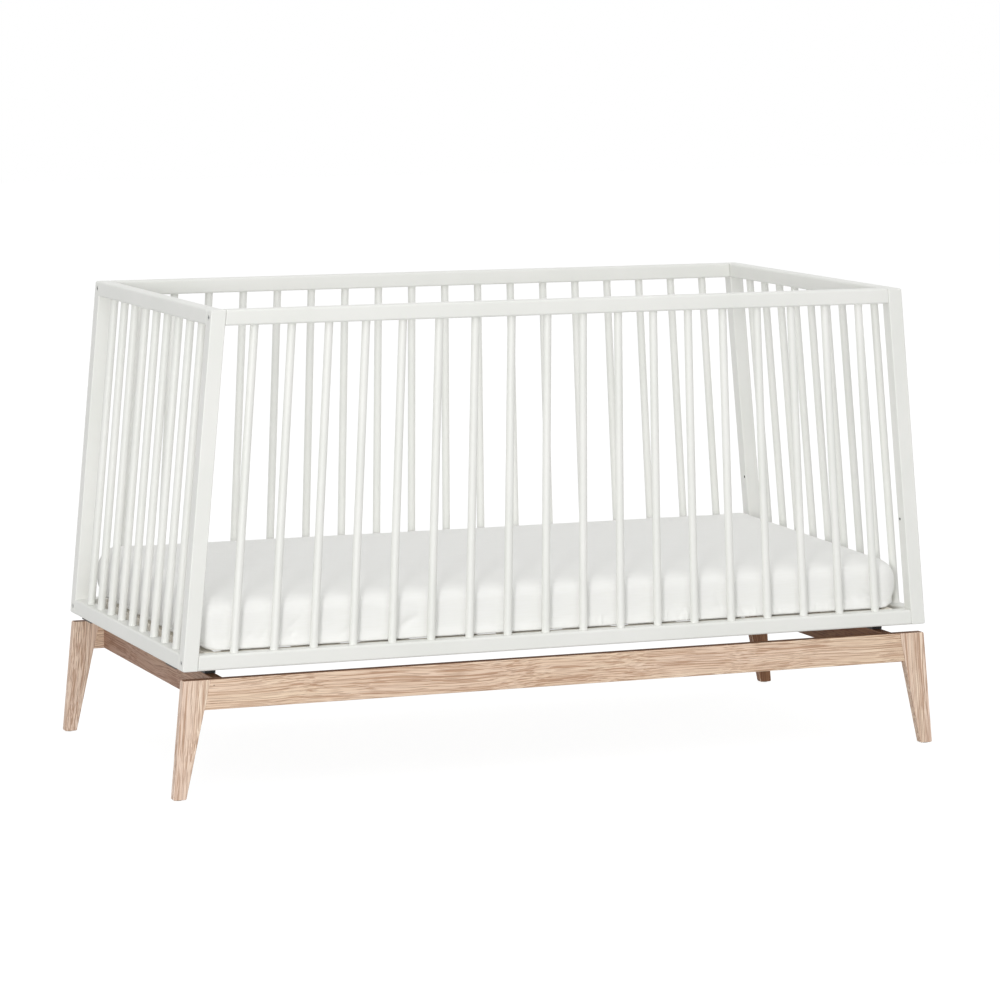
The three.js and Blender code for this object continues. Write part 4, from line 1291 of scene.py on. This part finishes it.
def creases(points):
    """How deep the sheet's creases lie at each point.

    A crease is a straight or bowed valley. Its depth falls off across it as a bell curve and
    towards both ends as a smooth step. On a wall it rises from its foot and leans away from the
    nearer corner; on top it runs about along the cot.
    """
    half = (mattress_high + MATTRESS_SWELL)[:2]
    share = np.abs(points[:, :2]) / half
    on_end = share[:, 0] > share[:, 1]
    side = np.where(on_end, np.sign(points[:, 0]), np.sign(points[:, 1]))
    along = np.where(on_end, points[:, 1], points[:, 0])
    height = points[:, 2] - MATTRESS_FLOOR
    depth = np.zeros(len(points))
    random = np.random.default_rng(CREASE_SEED)
    for is_end, reach, count in ((False, half[0], SIDE_CREASES), (True, half[1], END_CREASES)):
        for sign in (-1, 1):
            here = (on_end == is_end) & (side == sign)
            for _ in range(count):
                end = random.choice([-1, 1])
                middle = end * reach * (1 - random.beta(*WALL_CROWDING) * WALL_SPREAD)
                foot = random.uniform(*WALL_FOOT)
                lean = end * random.uniform(*WALL_LEAN)
                length = random.uniform(*WALL_LENGTH)
                width = random.uniform(*WALL_WIDTH)
                sink = random.uniform(*WALL_SINK)
                bow = random.uniform(*WALL_BOW)
                u = along[here] - middle
                v = height[here] - foot
                stretch = math.hypot(lean, 1)
                run = (u * -lean + v) / stretch
                off = (u + lean * v) / stretch - bow * run ** 2
                fade = smooth(1 - np.abs(run / length - 0.5) * 2)
                depth[here] += sink * np.exp(-(off / width) ** 2) * fade
    top = np.clip((points[:, 2] - mattress_high[2] + TOP_START) / TOP_RISE, 0, 1)
    for _ in range(TOP_CREASES):
        x, y = (random.uniform(-reach, reach) for reach in TOP_REACH)
        turn = random.normal(0, TOP_TURN)
        length = random.uniform(*TOP_LENGTH)
        width = random.uniform(*TOP_WIDTH)
        sink = random.uniform(*TOP_SINK)
        u, v = points[:, 0] - x, points[:, 1] - y
        run = u * math.cos(turn) + v * math.sin(turn)
        off = v * math.cos(turn) - u * math.sin(turn) - TOP_BOW * run ** 2
        depth += top * sink * np.exp(-(off / width) ** 2) * smooth(1 - np.abs(run) / length)
    return depth


def crease(mesh):
    """Sinks the creases into the sheet, each point straight against its normal."""
    points = vectors(mesh.vertices, "co")
    points -= vectors(mesh.vertices, "normal") * creases(points)[:, None]
    points[:, 2] = np.maximum(points[:, 2], MATTRESS_FLOOR)
    move_points(mesh, points)


mattress_mesh = mattress_body()
crease(mattress_mesh)
mattress = piece("mattress_in_sheet", mattress_mesh, "mattress", WHITE_COTTON,
                 ["mattress"])
mattress.modifiers.clear()
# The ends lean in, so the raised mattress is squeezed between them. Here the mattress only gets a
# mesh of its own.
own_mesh(mattress)

# ---------------------------------------------------------------- stage, light and camera

FLOOR_WIDTH = 40.0
LIT_POINT = Vector((0, 0, 0.45))


def seen_directly(tree):
    """1 for rays from the camera, from a reflection or through glass, and 0 for all others."""
    seen = add(tree, "LightPath", out="Is Camera Ray")
    for ray in ("Is Glossy Ray", "Is Transmission Ray"):
        other = add(tree, "LightPath", out=ray)
        seen = add(tree, "Math", {0: seen, 1: other}, operation="MAXIMUM")
    return seen


def stage_floor():
    """A floor that looks white with a faint shadow, and that lights the cot as a pale grey one."""
    half = FLOOR_WIDTH / 2
    corners = [(-half, -half, 0), (half, -half, 0), (half, half, 0), (-half, half, 0)]
    mesh = bpy.data.meshes.new("floor")
    mesh.from_pydata(corners, [], [[0, 1, 2, 3]])
    material = bpy.data.materials.new("pale_floor")
    tree = empty_tree(material)
    pale = add(tree, "BsdfDiffuse", {"Color": "#c6c6c6"})
    shadow = add(tree, "BsdfDiffuse", {"Color": "#707070"})
    glow = add(tree, "Emission", {"Color": "#ffffff", "Strength": 0.93})
    white = add(tree, "AddShader", {0: shadow, 1: glow})
    both = add(tree, "MixShader", {0: seen_directly(tree), 1: pale, 2: white})
    add(tree, "OutputMaterial", {"Surface": both})
    mesh.materials.append(material)
    placed("floor", mesh)


def stage_world():
    """White to the camera and to reflections, and a softer even light to everything else."""
    world = bpy.data.worlds.new("studio")
    bpy.context.scene.world = world
    tree = empty_tree(world)
    soft = add(tree, "Background", {"Color": "#ffffff", "Strength": 0.60})
    white = add(tree, "Background", {"Color": "#ffffff", "Strength": 1.0})
    both = add(tree, "MixShader", {0: seen_directly(tree), 1: soft, 2: white})
    add(tree, "OutputWorld", {"Surface": both})


def softbox(name, azimuth, elevation, distance, size, power):
    """A square area light that looks at the middle of the cot.

    azimuth counts from straight in front towards the right and elevation from the floor, both in
    degrees.
    """
    turn, rise = math.radians(azimuth), math.radians(elevation)
    flat = math.cos(rise)
    away = Vector((math.sin(turn) * flat, -math.cos(turn) * flat, math.sin(rise)))
    light = bpy.data.lights.new(name, "AREA")
    light.shape = "SQUARE"
    light.size = size
    light.energy = power
    thing = placed(name, light)
    thing.location = LIT_POINT + away * distance
    thing.rotation_mode = "QUATERNION"
    thing.rotation_quaternion = away.to_track_quat("Z", "Y")


def stage_camera():
    """A long lens from the front left, a little above the top rail."""
    camera = bpy.data.cameras.new("camera")
    camera.lens = 146.21
    camera.sensor_width = 36.0
    camera.shift_x = -0.0072
    camera.shift_y = -0.0036
    camera.clip_end = 100.0
    thing = placed("camera", camera)
    thing.location = (-2.7936, -7.0983, 1.4515)
    thing.rotation_euler = (math.radians(90 - 7.392), 0, math.radians(-21.672))
    bpy.context.scene.camera = thing


stage_floor()
stage_world()
softbox("key", -32, 5, 10.0, 1.4, 290)
softbox("fill", -12, 2, 10.0, 3.4, 65)
softbox("top", -20, 52, 8.0, 6.0, 130)
softbox("back", 165, 62, 8.0, 6.0, 50)
softbox("behind", 122, 8, 10.0, 3.4, 190)
stage_camera()
bpy.context.scene.view_settings.view_transform = "Standard"
